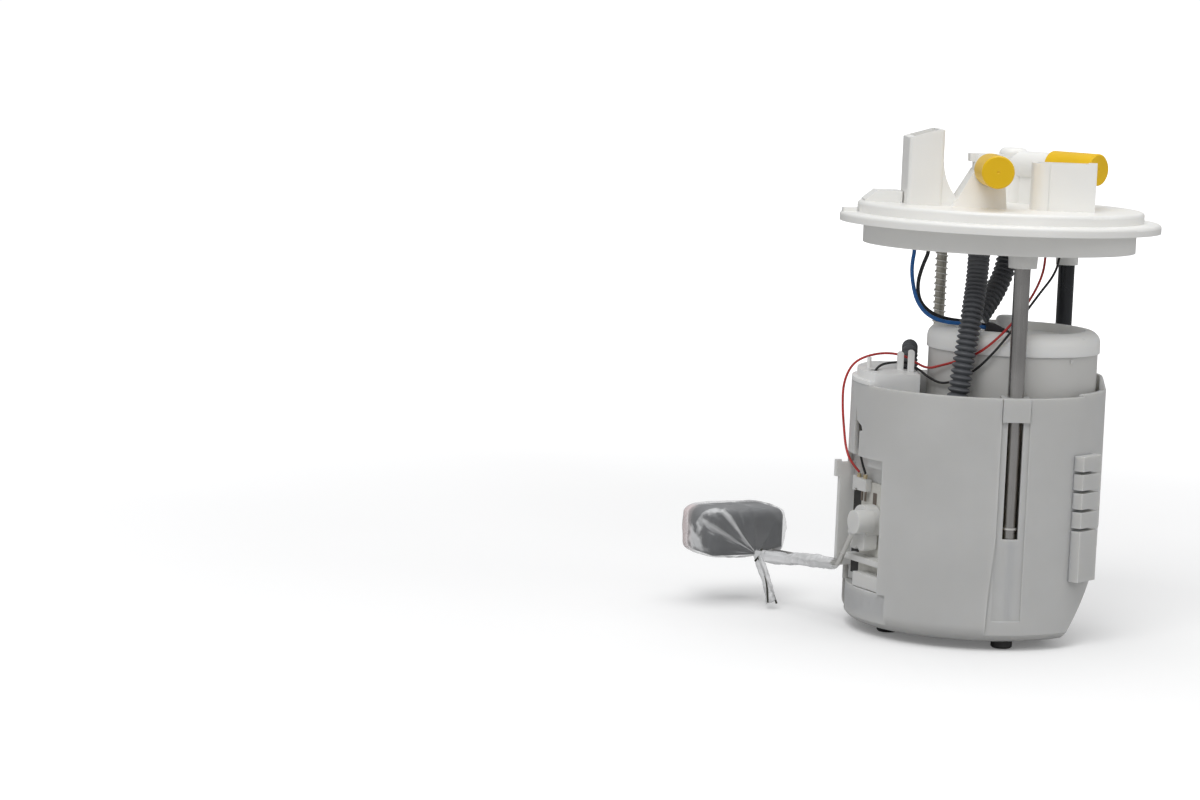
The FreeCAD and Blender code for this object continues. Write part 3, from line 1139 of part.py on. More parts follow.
def write_cords():
    for name, route, radius, bore in (
            ("return_hose", RETURN_HOSE, HOSE_R, HOSE_BORE_R), ("supply_hose", SUPPLY_HOSE, HOSE_R, HOSE_BORE_R),
            ("bypass_hose", BYPASS_HOSE, BYPASS_R, BYPASS_BORE_R), ("pump_lead_blue", PUMP_LEAD_BLUE, PUMP_LEAD_R, 0),
            ("pump_lead_black", PUMP_LEAD_BLACK, PUMP_LEAD_R, 0), ("sender_lead_red", SENDER_LEAD_RED, SENDER_LEAD_R, 0),
            ("sender_lead_black", SENDER_LEAD_BLACK, SENDER_LEAD_R, 0)):
        save(name, cord(name, route, radius, bore), FLOOR_FRAME)


def main():
    os.makedirs("parts", exist_ok=True)
    write_flange()
    write_reservoir()
    write_sender()
    write_cords()


main()
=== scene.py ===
"""Fuel pump module, dressed over its frame: finishes for the solids, ribbed hoses, leads, the coil spring and
the film round the float. Metres, in the frame of the solids, with the origin at the flange's seat."""
import math
from collections import namedtuple

import bmesh
import bpy
from bpy.props import FloatProperty, FloatVectorProperty, PointerProperty
from mathutils import Matrix, Vector, noise


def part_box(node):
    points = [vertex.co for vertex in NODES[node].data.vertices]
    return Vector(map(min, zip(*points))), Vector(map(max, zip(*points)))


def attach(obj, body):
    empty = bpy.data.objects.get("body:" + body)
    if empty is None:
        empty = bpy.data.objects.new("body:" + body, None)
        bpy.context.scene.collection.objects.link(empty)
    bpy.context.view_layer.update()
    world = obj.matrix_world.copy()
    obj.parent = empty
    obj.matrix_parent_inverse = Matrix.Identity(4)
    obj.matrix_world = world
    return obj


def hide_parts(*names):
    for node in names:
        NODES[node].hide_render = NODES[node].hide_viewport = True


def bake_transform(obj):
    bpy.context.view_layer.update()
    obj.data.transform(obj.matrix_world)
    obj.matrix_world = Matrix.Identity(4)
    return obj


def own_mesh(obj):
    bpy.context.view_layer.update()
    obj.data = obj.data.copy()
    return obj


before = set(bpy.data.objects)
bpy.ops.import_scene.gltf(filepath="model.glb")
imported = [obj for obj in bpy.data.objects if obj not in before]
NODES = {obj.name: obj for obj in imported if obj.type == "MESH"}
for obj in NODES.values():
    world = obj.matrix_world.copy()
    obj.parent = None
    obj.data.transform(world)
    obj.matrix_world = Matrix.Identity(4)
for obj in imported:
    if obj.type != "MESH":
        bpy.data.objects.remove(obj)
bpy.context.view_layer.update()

bl_info = {
    "name": "Fuel pump module",
    "version": (1, 0, 0),
    "blender": (4, 5, 0),
    "location": "View3D > Sidebar > Fuel Pump",
    "description": "Dresses the solids of a fuel pump module with its finishes, hoses, leads and film",
    "category": "Object",
}

SEAT_HEIGHT = 0.167          # of the flange's seat over the floor

# The float sender's own directions, in millimetres: X out of the cup, Y to the front, heights over the floor
CUP_CENTRE = (-4.0, 6.0)
SENDER_TURN = math.radians(205)
OUTWARD = Vector((math.cos(SENDER_TURN), math.sin(SENDER_TURN), 0))
FORWARD = Vector((-math.sin(SENDER_TURN), math.cos(SENDER_TURN), 0))
CARD_STRIP_AT = -16.8        # the card's dark strip lies behind this Y
FLOAT_MIDDLE = Vector((65.6, -84.0, 30.5))
BAG_HALF = Vector((20.9, 13.4, 11.3))
BAG_SQUARENESS = 5           # 2 makes the bag an ellipsoid, and higher values a squarer box
BAG_NECK = Vector((62.4, -69.6, 22.0))


def at_sender(x, y, height):
    """A place given in the float sender's directions, in the frame's metres."""
    flat = Vector((*CUP_CENTRE, 0)) + x * OUTWARD + y * FORWARD
    return Vector((flat.x / 1000, flat.y / 1000, height / 1000 - SEAT_HEIGHT))


def over_floor(rows):
    """Points given in millimetres with their heights over the floor, in the frame's metres."""
    return [Vector((x / 1000, y / 1000, z / 1000 - SEAT_HEIGHT)) for x, y, z in rows]


RETURN_HOSE = over_floor([
    (-10.4, -20.0, 168.0), (-10.4, -20.8, 150.0), (-14.0, -31.4, 129.0), (-17.0, -33.6, 108.0),
    (-19.4, -33.9, 84.0), (-19.9, -33.3, 62.0), (-19.5, -33.0, 38.3)])
SUPPLY_HOSE = over_floor([
    (8.3, 29.0, 167.5), (8.2, 28.6, 158.0), (7.4, 27.6, 148.5), (3.6, 23.6, 139.8), (-1.4, 17.8, 132.7),
    (-6.5, 12.0, 126.0)])
BYPASS_HOSE = over_floor([
    (-33.0, 9.5, 104.4), (-33.0, 9.5, 111.8), (-32.2, 16.2, 115.7), (-31.3, 23.0, 111.8),
    (-30.8, 23.4, 103.2), (-29.6, 22.8, 93.6), (-29.0, 22.2, 84.3)])
PUMP_LEAD_BLUE = over_floor([
    (-36.0, -7.0, 164.7), (-34.6, -7.2, 158.0), (-35.9, -7.6, 150.0), (-35.2, -8.4, 143.0),
    (-33.2, -8.8, 135.6), (-28.4, -8.8, 130.0), (-21.0, -8.6, 127.6), (-12.5, -8.2, 127.4),
    (-4.6, -6.8, 126.0)])
PUMP_LEAD_BLACK = over_floor([
    (-30.5, -7.0, 164.7), (-28.4, -7.2, 157.6), (-31.4, -6.6, 150.0), (-33.0, -5.8, 142.6),
    (-31.8, -5.2, 135.6), (-27.2, -5.0, 131.0), (-20.4, -5.1, 128.6), (-12.0, -5.0, 128.0),
    (-4.6, -3.6, 126.6)])
SENDER_LEAD_RED = over_floor([
    (16.5, -19.0, 164.7), (16.2, -21.5, 157.5), (14.6, -26.2, 149.0), (9.0, -30.4, 138.6),
    (0.5, -33.4, 127.8), (-8.6, -31.8, 118.6), (-16.2, -24.6, 114.0), (-23.0, -17.0, 110.9),
    (-27.4, -8.3, 108.4), (-31.8, 0.6, 110.2), (-36.2, 5.2, 112.4), (-43.5, 8.0, 112.8),
    (-51.0, 11.6, 110.6), (-56.0, 15.6, 106.6), (-58.9, 17.2, 98.5), (-58.8, 16.0, 88.5),
    (-58.0, 13.4, 80.0), (-57.2, 11.0, 72.8), (-55.4, 7.2, 67.4), (-51.9, 3.1, 63.75)])
SENDER_LEAD_BLACK = over_floor([
    (22.5, -19.0, 164.7), (21.9, -21.8, 157.0), (19.4, -26.0, 149.8), (13.0, -29.3, 142.0),
    (4.6, -33.6, 130.6), (-2.6, -34.0, 120.6), (-10.6, -29.9, 110.6), (-18.2, -23.3, 105.4),
    (-22.6, -16.6, 103.4), (-26.6, -8.6, 104.8), (-30.6, -1.9, 107.8), (-35.0, 4.4, 109.6),
    (-40.6, 6.6, 109.0), (-45.6, 2.6, 108.2), (-48.6, -3.0, 105.6), (-49.0, -4.6, 98.5),
    (-50.2, -5.4, 91.0), (-52.5, -6.3, 84.0), (-53.4, -6.8, 77.5), (-52.3, -4.4, 69.9), (-49.8, -1.5, 63.75)])
PUMP_LEAD_RADIUS = 0.0008

# Each lead, with the point of its route from which it stays with the reservoir: the plug, or the cover's clip
Lead = namedtuple("Lead", "name node route held slot")
LEADS = (
    Lead("lead_pump_blue", "pump_lead_blue", PUMP_LEAD_BLUE, -1, "lead_blue"),
    Lead("lead_pump_black", "pump_lead_black", PUMP_LEAD_BLACK, -1, "lead_black"),
    Lead("lead_sender_red", "sender_lead_red", SENDER_LEAD_RED, 9, "lead_red"),
    Lead("lead_sender_black", "sender_lead_black", SENDER_LEAD_BLACK, 10, "lead_black"))
SPRING_WIRE_RADIUS = 0.0003

# The ribs of a hose: their pitch and depth as shares of the settings, the pitch's growth for each metre along
# the hose, and how far along it the grooves start to deepen
Hose = namedtuple("Hose", "name node route radius pitch growth depth fine_until")
HOSE_RADIUS, BYPASS_RADIUS = 0.0045, 0.0033
DEEPENING = 0.03             # the stretch over which the grooves deepen
ALWAYS_DEEP = -DEEPENING
HOSES = (
    Hose("hose_return", "return_hose", RETURN_HOSE, HOSE_RADIUS, 0.52, 0.0066, 1.6, 0.012),
    Hose("hose_supply", "supply_hose", SUPPLY_HOSE, HOSE_RADIUS, 0.74, 0.004, 1.05, ALWAYS_DEEP),
    Hose("hose_bypass", "bypass_hose", BYPASS_HOSE, BYPASS_RADIUS, 0.72, 0.0, 1.1, ALWAYS_DEEP))
SAMPLES_PER_RIB = 11

# Film on the arm and below the neck, and the wires of its tie, in the sender's directions
ARM_FILM = [Vector(row) for row in (
    (62.2, -69.6, 21.6), (58.5, -66.5, 20.9), (54.6, -57.0, 21.4), (53.3, -44.0, 23.2), (53.2, -31.0, 24.6),
    (53.2, -19.0, 25.7))]
ARM_FILM_RADII = (2.0, 2.9, 2.7, 2.8, 2.9, 2.5)
TAIL_FILM = [Vector(row) for row in (
    (62.2, -69.4, 21.8), (60.9, -66.6, 16.6), (59.8, -64.0, 11.2), (59.4, -61.6, 6.4), (59.4, -60.0, 2.8))]
TAIL_FILM_RADII = (2.4, 3.3, 2.9, 2.8, 3.2)
TIE_WIRE_RADIUS = 0.00042
TIE_WIRES = (
    ((59.6, -69.4, 23.8), (61.0, -67.6, 22.6), (62.6, -66.8, 20.6), (63.4, -68.2, 19.0)),
    ((62.4, -67.0, 20.4), (61.2, -64.6, 16.0), (60.6, -62.6, 11.6), (61.0, -60.6, 7.2), (61.2, -59.4, 2.6)),
    ((60.8, -62.6, 11.8), (59.6, -61.4, 9.4), (58.4, -59.6, 5.8), (57.4, -58.6, 2.2)))

# The stage: where the camera stands and looks, the floor, the sky, and each lamp's place, size and watts
CAMERA_PLACE = (-0.1948, -1.3864, 0.083)
CAMERA_YAW, CAMERA_PITCH, CAMERA_ROLL = math.radians(1.458), math.radians(6.592), math.radians(2.3)
FLOOR_RADIUS = 14.0
FLOOR_GAP = 0.0004           # between the floor and the feet
FLOOR_BOUNCE = (0.5, 0.5, 0.5, 1)
SKY_LIGHT, SKY_SEEN = 0.46, 1.05
LAMPS = (
    ("Key", (-0.45, -0.95, 1.15), 0.8, 9.5),
    ("Top", (0.1, 0.0, 1.35), 1.1, 7.0),
    ("Side", (1.2, -0.5, 0.5), 0.5, 1.6))
LAMPS_AIM = Vector((0, 0, -0.07))


# Finishes

def new_finish(name):
    """A material with nodes, its tree and its shader."""
    material = bpy.data.materials.new(name)
    material.use_nodes = True
    tree = material.node_tree
    return material, tree, tree.nodes["Principled BSDF"]


def maths(tree, operation, first, second=None):
    """A maths node on numbers or sockets, and its result."""
    node = tree.nodes.new("ShaderNodeMath")
    node.operation = operation
    for index, value in enumerate((first, second)):
        if value is None:
            continue
        if isinstance(value, (int, float)):
            node.inputs[index].default_value = value
        else:
            tree.links.new(value, node.inputs[index])
    return node.outputs[0]


def noise_of(tree, scale, detail=2.0, stretch=None):
    """A noise texture on object coordinates, scaled along each axis where the metal is drawn or ground."""
    nodes, links = tree.nodes, tree.links
    place = nodes.new("ShaderNodeTexCoord")
    texture = nodes.new("ShaderNodeTexNoise")
    texture.inputs["Scale"].default_value = scale
    texture.inputs["Detail"].default_value = detail
    source = place.outputs["Object"]
    if stretch:
        mapping = nodes.new("ShaderNodeMapping")
        mapping.inputs["Scale"].default_value = stretch
        links.new(source, mapping.inputs["Vector"])
        source = mapping.outputs["Vector"]
    links.new(source, texture.inputs["Vector"])
    return texture


def ramp_of(tree, source, low, high, start=0.3, end=0.7):
    """A colour that goes from low to high while the source goes from start to end."""
    ramp = tree.nodes.new("ShaderNodeValToRGB")
    ramp.color_ramp.elements[0].position = start
    ramp.color_ramp.elements[1].position = end
    ramp.color_ramp.elements[0].color = (*low, 1)
    ramp.color_ramp.elements[1].color = (*high, 1)
    tree.links.new(source, ramp.inputs["Fac"])
    return ramp.outputs["Color"]


def range_of(tree, source, low, high):
    """A number that follows a noise from low to high."""
    spread = tree.nodes.new("ShaderNodeMapRange")
    spread.inputs["From Min"].default_value = 0.3
    spread.inputs["From Max"].default_value = 0.7
    spread.inputs["To Min"].default_value = low
    spread.inputs["To Max"].default_value = high
    tree.links.new(source, spread.inputs["Value"])
    return spread.outputs["Result"]


def bump_of(tree, shader, sources, strength, distance):
    """Adds the heights of the sources one on the other as bumps."""
    normal = None
    for source in sources:
        bump = tree.nodes.new("ShaderNodeBump")
        bump.inputs["Strength"].default_value = strength
        bump.inputs["Distance"].default_value = distance
        tree.links.new(source, bump.inputs["Height"])
        if normal:
            tree.links.new(normal, bump.inputs["Normal"])
        normal = bump.outputs["Normal"]
    tree.links.new(normal, shader.inputs["Normal"])


def shade(colour, factor):
    """The colour made darker or lighter."""
    return tuple(min(1.0, c * factor) for c in colour)


def moulded_plastic(name, colour, rough=0.42, drift=0.05, glow=0.0, grain=0.00002):
    """Moulded plastic: a slight drift of tone, uneven gloss and the fine grain of the mould."""
    material, tree, shader = new_finish(name)
    broad = noise_of(tree, 28, 3)
    fine = noise_of(tree, 900, 2)
    tone = ramp_of(tree, broad.outputs["Fac"], shade(colour, 1 - drift), shade(colour, 1 + drift / 2))
    gloss = range_of(tree, broad.outputs["Fac"], rough - 0.06, rough + 0.08)
    tree.links.new(tone, shader.inputs["Base Color"])
    tree.links.new(gloss, shader.inputs["Roughness"])
    shader.inputs["IOR"].default_value = 1.49
    if glow:
        shader.inputs["Subsurface Weight"].default_value = glow
        shader.inputs["Subsurface Radius"].default_value = (1.0, 0.95, 0.85)
        shader.inputs["Subsurface Scale"].default_value = 0.004
    bump_of(tree, shader, [broad.outputs["Fac"], fine.outputs["Fac"]], 0.25, grain)
    return material


# How the marks of metal are squeezed along each axis: lower values draw them out
DRAWN_UP = (1, 1, 0.1)
GROUND_UP = (1, 1, 0.03)


def metal(name, colour, rough, stretch):
    """Ground or drawn steel with marks along its length."""
    material, tree, shader = new_finish(name)
    marks = noise_of(tree, 700, 3, stretch)
    cloud = noise_of(tree, 60, 2)
    tone = ramp_of(tree, cloud.outputs["Fac"], shade(colour, 0.86), shade(colour, 1.08))
    gloss = range_of(tree, marks.outputs["Fac"], rough - 0.07, rough + 0.1)
    tree.links.new(tone, shader.inputs["Base Color"])
    tree.links.new(gloss, shader.inputs["Roughness"])
    shader.inputs["Metallic"].default_value = 1.0
    bump_of(tree, shader, [marks.outputs["Fac"]], 0.15, 0.00001)
    return material


def rubber(name, colour, rough=0.6):
    """A dull, faintly dusty finish for rubber, foam, paper and sintered pieces."""
    material, tree, shader = new_finish(name)
    dust = noise_of(tree, 140, 4)
    fine = noise_of(tree, 1500, 2)
    tone = ramp_of(tree, dust.outputs["Fac"], colour, shade(colour, 1.6), 0.45, 0.8)
    gloss = range_of(tree, dust.outputs["Fac"], rough - 0.08, rough + 0.1)
    tree.links.new(tone, shader.inputs["Base Color"])
    tree.links.new(gloss, shader.inputs["Roughness"])
    bump_of(tree, shader, [fine.outputs["Fac"]], 0.3, 0.00002)
    return material


def insulation(name, colour):
    """The soft plastic skin of a lead, with slight scuffs."""
    material, tree, shader = new_finish(name)
    scuff = noise_of(tree, 260, 3)
    tone = ramp_of(tree, scuff.outputs["Fac"], shade(colour, 0.8), shade(colour, 1.15))
    tree.links.new(tone, shader.inputs["Base Color"])
    tree.links.new(range_of(tree, scuff.outputs["Fac"], 0.3, 0.45), shader.inputs["Roughness"])
    bump_of(tree, shader, [scuff.outputs["Fac"]], 0.2, 0.00002)
    return material


def along_direction(tree, direction):
    """How far the shaded place lies along a direction from the frame's origin, in metres."""
    place = tree.nodes.new("ShaderNodeTexCoord")
    dot = tree.nodes.new("ShaderNodeVectorMath")
    dot.operation = "DOT_PRODUCT"
    dot.inputs[1].default_value = direction
    tree.links.new(place.outputs["Object"], dot.inputs[0])
    return dot.outputs["Value"]


def step_of(tree, source, low, high, start, end):
    """Goes smoothly from low to high while the source goes from start to end."""
    spread = tree.nodes.new("ShaderNodeMapRange")
    spread.interpolation_type = "SMOOTHSTEP"
    for label, value in (("From Min", start), ("From Max", end), ("To Min", low), ("To Max", high)):
        spread.inputs[label].default_value = value
    tree.links.new(source, spread.inputs["Value"])
    return spread.outputs["Result"]


def mixed(tree, factor, first, second):
    """The first colour, a socket, turned into the second, a plain colour, by the factor."""
    mix = tree.nodes.new("ShaderNodeMix")
    mix.data_type = "RGBA"
    mix.inputs["B"].default_value = (*second, 1)
    tree.links.new(factor, mix.inputs["Factor"])
    tree.links.new(first, mix.inputs["A"])
    return mix.outputs["Result"]


def past(direction, reach):
    """How far a place lies along a direction, in metres, given its reach from the cup's middle."""
    return (Vector((*CUP_CENTRE, 0)).dot(direction) + reach) / 1000


def card_with_dark_strip(name):
    """Pale ceramic, coloured near-black behind a line along its back edge."""
    material, tree, shader = new_finish(name)
    grain = noise_of(tree, 400, 3)
    pale = ramp_of(tree, grain.outputs["Fac"], (0.66, 0.65, 0.60), (0.74, 0.73, 0.68))
    edge = past(FORWARD, CARD_STRIP_AT)
    strip = step_of(tree, along_direction(tree, FORWARD), 1.0, 0.0, edge - 0.0001, edge + 0.0001)
    tree.links.new(mixed(tree, strip, pale, (0.02, 0.02, 0.02)), shader.inputs["Base Color"])
    tree.links.new(range_of(tree, grain.outputs["Fac"], 0.35, 0.5), shader.inputs["Roughness"])
    bump_of(tree, shader, [grain.outputs["Fac"]], 0.2, 0.00002)
    return material


def rays_from_neck(tree):
    """The direction of each place as seen from the bag's neck."""
    place = tree.nodes.new("ShaderNodeTexCoord")
    away = tree.nodes.new("ShaderNodeVectorMath")
    away.operation = "SUBTRACT"
    away.inputs[1].default_value = at_sender(*BAG_NECK)
    ray = tree.nodes.new("ShaderNodeVectorMath")
    ray.operation = "NORMALIZE"
    tree.links.new(place.outputs["Object"], away.inputs[0])
    tree.links.new(away.outputs["Vector"], ray.inputs[0])
    return ray.outputs["Vector"]


def bunched_end(tree):
    """1 on the bag's far end, where the film is bunched, and 0 elsewhere."""
    end = past(OUTWARD, FLOAT_MIDDLE.x)
    back = past(FORWARD, FLOAT_MIDDLE.y)
    outer = step_of(tree, along_direction(tree, OUTWARD), 0.0, 1.0, end + 0.014, end + 0.019)
    rear = step_of(tree, along_direction(tree, FORWARD), 1.0, 0.0, back - 0.006, back + 0.002)
    return maths(tree, "MULTIPLY", outer, rear)


def clear_film(name, haze, fold_haze_and_highlight, fan=False):
    """Thin film: see-through where it lies flat and whitish where it turns away. Along its folds it is painted
    whitish and less clear, partly the film's own haze and partly painted highlight.
    On the bag the folds fan out from its neck, and the far end is bunched and milky."""
    material, tree, shader = new_finish(name)
    fold = noise_of(tree, 2.7 if fan else 210, 3)
    if fan:
        fold.inputs["Distortion"].default_value = 0.25
        tree.links.new(rays_from_neck(tree), fold.inputs["Vector"])
    wrinkle = noise_of(tree, 130, 4)
    # Where the fold noise is high the film is painted whitish and opaque: partly the film's haze, partly
    # painted highlight on its folds.
    white = step_of(tree, fold.outputs["Fac"], 0.0, fold_haze_and_highlight, 0.50, 0.66)
    turned = tree.nodes.new("ShaderNodeLayerWeight")
    turned.inputs["Blend"].default_value = 0.25
    edge = maths(tree, "MULTIPLY", turned.outputs["Facing"], 0.28)
    alpha = maths(tree, "ADD", maths(tree, "ADD", white, edge), haze)
    colour = ramp_of(tree, wrinkle.outputs["Fac"], (0.86, 0.87, 0.88), (0.94, 0.94, 0.95))
    if fan:
        milky = bunched_end(tree)
        alpha = maths(tree, "ADD", alpha, maths(tree, "MULTIPLY", milky, 0.5))
        colour = mixed(tree, milky, colour, (0.80, 0.66, 0.66))
    tree.links.new(maths(tree, "MINIMUM", alpha, 0.9), shader.inputs["Alpha"])
    tree.links.new(colour, shader.inputs["Base Color"])
    tree.links.new(range_of(tree, wrinkle.outputs["Fac"], 0.14, 0.3), shader.inputs["Roughness"])
    shader.inputs["Coat Weight"].default_value = 1.0 if fan else 0.3
    shader.inputs["Coat Roughness"].default_value = 0.08
    bump_of(tree, shader, [fold.outputs["Fac"], wrinkle.outputs["Fac"]], 0.5, 0.0005 if fan else 0.0001)
    return material


# Shared making

def new_object(name, data):
    """An object of the data, linked to the scene."""
    item = bpy.data.objects.new(name, data)
    bpy.context.scene.collection.objects.link(item)
    return item


def route_curve(name, points, bevel=0.0):
    """A smooth open curve with the route's points as its control points."""
    data = bpy.data.curves.new(name, "CURVE")
    data.dimensions = "3D"
    data.resolution_u = 12
    spline = data.splines.new("NURBS")
    spline.points.add(len(points) - 1)
    for knot, place in zip(spline.points, points):
        knot.co = (*place, 1)
    spline.order_u = 3
    spline.use_endpoint_u = True
    if bevel:
        data.bevel_depth = bevel
        data.bevel_resolution = 5
        data.use_fill_caps = True
    return new_object(name, data)


def evaluated_mesh(item):
    """The object's mesh as its modifiers or its curve make it."""
    bpy.context.view_layer.update()
    return bpy.data.meshes.new_from_object(item.evaluated_get(bpy.context.evaluated_depsgraph_get()))


def line_of(curve):
    """The points of the evaluated line of a curve that has no bevel."""
    mesh = evaluated_mesh(curve)
    points = [vertex.co.copy() for vertex in mesh.vertices]
    bpy.data.meshes.remove(mesh)
    return points


def length_of(path):
    """The length of a line through the points."""
    return sum((b - a).length for a, b in zip(path, path[1:]))


def as_mesh(curve, finish):
    """The curve's evaluated body as a mesh object of the same name."""
    mesh = evaluated_mesh(curve)
    mesh.materials.clear()
    mesh.materials.append(finish)
    name = curve.name
    bpy.data.objects.remove(curve)
    return new_object(name, mesh)


def new_tree(name, sockets):
    """A geometry tree with a geometry input, the named inputs and a geometry output."""
    tree = bpy.data.node_groups.new(name, "GeometryNodeTree")
    tree.interface.new_socket("Geometry", in_out="INPUT", socket_type="NodeSocketGeometry")
    for label, kind, default in sockets:
        socket = tree.interface.new_socket(label, in_out="INPUT", socket_type=kind)
        if default is not None:
            socket.default_value = default
    tree.interface.new_socket("Geometry", in_out="OUTPUT", socket_type="NodeSocketGeometry")
    start = tree.nodes.new("NodeGroupInput")
    end = tree.nodes.new("NodeGroupOutput")
    return tree, start, end


def finish_tree(tree, geometry, start, end):
    """Realizes the geometry and gives it the material of the tree's Finish input."""
    realize = tree.nodes.new("GeometryNodeRealizeInstances")
    paint = tree.nodes.new("GeometryNodeSetMaterial")
    tree.links.new(geometry, realize.inputs[0])
    tree.links.new(realize.outputs[0], paint.inputs["Geometry"])
    tree.links.new(start.outputs["Finish"], paint.inputs["Material"])
    tree.links.new(paint.outputs["Geometry"], end.inputs["Geometry"])


def baked(name, carrier, tree, values, finish):
    """Runs the tree on the carrier object and keeps the result as a plain mesh object."""
    modifier = carrier.modifiers.new("Make", "NODES")
    modifier.node_group = tree
    for item in tree.interface.items_tree:
        if item.in_out == "INPUT" and item.name in values:
            modifier[item.identifier] = values[item.name]
    mesh = evaluated_mesh(carrier)
    bpy.data.objects.remove(carrier)
    mesh.name = name
    mesh.materials.clear()
    mesh.materials.append(finish)
    for face in mesh.polygons:
        face.use_smooth = True
    return new_object(name, mesh)


def ribbed_hose_tree():
    """A hose along a curve, with a groove between every two ribs. The ribs grow apart along it."""
    tree, start, end = new_tree("Ribbed hose", [
        ("Samples", "NodeSocketInt", 400), ("Crest Radius", "NodeSocketFloat", 0.0045),
        ("Rib Depth", "NodeSocketFloat", 0.0006), ("Rib Pitch", "NodeSocketFloat", 0.0029),
        ("Pitch Growth", "NodeSocketFloat", 0.0), ("Fine Until", "NodeSocketFloat", 0.0),
        ("Sides", "NodeSocketInt", 28), ("Finish", "NodeSocketMaterial", None)])
    links = tree.links
    resample = tree.nodes.new("GeometryNodeResampleCurve")
    links.new(start.outputs["Geometry"], resample.inputs["Curve"])
    links.new(start.outputs["Samples"], resample.inputs["Count"])
    along = tree.nodes.new("GeometryNodeSplineParameter").outputs["Length"]
    grown = maths(tree, "MULTIPLY", along, start.outputs["Pitch Growth"])
    pitch = maths(tree, "ADD", start.outputs["Rib Pitch"], grown)
    turns = maths(tree, "DIVIDE", maths(tree, "MULTIPLY", along, math.pi), pitch)
    ridge = maths(tree, "POWER", maths(tree, "ABSOLUTE", maths(tree, "SINE", turns)), 0.85)
    valley = maths(tree, "SUBTRACT", 1.0, ridge)
    deeper = tree.nodes.new("ShaderNodeMapRange")
    deeper.interpolation_type = "SMOOTHSTEP"
    deeper.inputs["To Min"].default_value = 0.22
    deeper.inputs["To Max"].default_value = 1.0
    links.new(along, deeper.inputs["Value"])
    links.new(start.outputs["Fine Until"], deeper.inputs["From Min"])
    links.new(maths(tree, "ADD", start.outputs["Fine Until"], DEEPENING), deeper.inputs["From Max"])
    groove = maths(tree, "MULTIPLY", valley, start.outputs["Rib Depth"])
    depth = maths(tree, "MULTIPLY", groove, deeper.outputs["Result"])
    radius = maths(tree, "SUBTRACT", start.outputs["Crest Radius"], depth)
    ring = tree.nodes.new("GeometryNodeCurvePrimitiveCircle")
    ring.inputs["Radius"].default_value = 1.0
    links.new(start.outputs["Sides"], ring.inputs["Resolution"])
    sweep = tree.nodes.new("GeometryNodeCurveToMesh")
    sweep.inputs["Fill Caps"].default_value = True
    links.new(resample.outputs["Curve"], sweep.inputs["Curve"])
    links.new(ring.outputs["Curve"], sweep.inputs["Profile Curve"])
    links.new(radius, sweep.inputs["Scale"])
    finish_tree(tree, sweep.outputs["Mesh"], start, end)
    return tree


def coil_tree():
    """A coil of round wire that stands on its place."""
    tree, start, end = new_tree("Coil spring", [
        ("Turns", "NodeSocketFloat", 23.0), ("Coil Radius", "NodeSocketFloat", 0.0026),
        ("Wire Radius", "NodeSocketFloat", 0.0004), ("Height", "NodeSocketFloat", 0.0627),
        ("Foot", "NodeSocketVector", None), ("Finish", "NodeSocketMaterial", None)])
    links = tree.links
    spiral = tree.nodes.new("GeometryNodeCurveSpiral")
    spiral.inputs["Resolution"].default_value = 20
    links.new(start.outputs["Turns"], spiral.inputs["Rotations"])
    links.new(start.outputs["Coil Radius"], spiral.inputs["Start Radius"])
    links.new(start.outputs["Coil Radius"], spiral.inputs["End Radius"])
    links.new(start.outputs["Height"], spiral.inputs["Height"])
    ring = tree.nodes.new("GeometryNodeCurvePrimitiveCircle")
    ring.inputs["Resolution"].default_value = 10
    links.new(start.outputs["Wire Radius"], ring.inputs["Radius"])
    sweep = tree.nodes.new("GeometryNodeCurveToMesh")
    sweep.inputs["Fill Caps"].default_value = True
    links.new(spiral.outputs["Curve"], sweep.inputs["Curve"])
    links.new(ring.outputs["Curve"], sweep.inputs["Profile Curve"])
    place = tree.nodes.new("GeometryNodeTransform")
    links.new(sweep.outputs["Mesh"], place.inputs["Geometry"])
    links.new(start.outputs["Foot"], place.inputs["Translation"])
    finish_tree(tree, place.outputs["Geometry"], start, end)
    return tree


def paint(material, *names):
    """Gives CAD nodes their finish."""
    for name in names:
        item = NODES[name]
        for part_slot in item.material_slots:
            part_slot.material = material


def folded(value, sharp=2.0):
    """A ridge that repeats with every half turn of its value: 1 on the crest, 0 between."""
    return (1 - abs(math.sin(value))) ** sharp


def eased(value, start, end):
    """Goes smoothly from 0 to 1 while the value goes from start to end."""
    share = min(1.0, max(0.0, (value - start) / (end - start)))
    return share * share * (3 - 2 * share)


def shell_object(name, make, finish):
    """A smooth mesh object of a bmesh, with its normals outwards."""
    bmesh.ops.recalc_face_normals(make, faces=make.faces)
    mesh = bpy.data.meshes.new(name)
    make.to_mesh(mesh)
    make.free()
    for face in mesh.polygons:
        face.use_smooth = True
    mesh.materials.append(finish)
    return new_object(name, mesh)


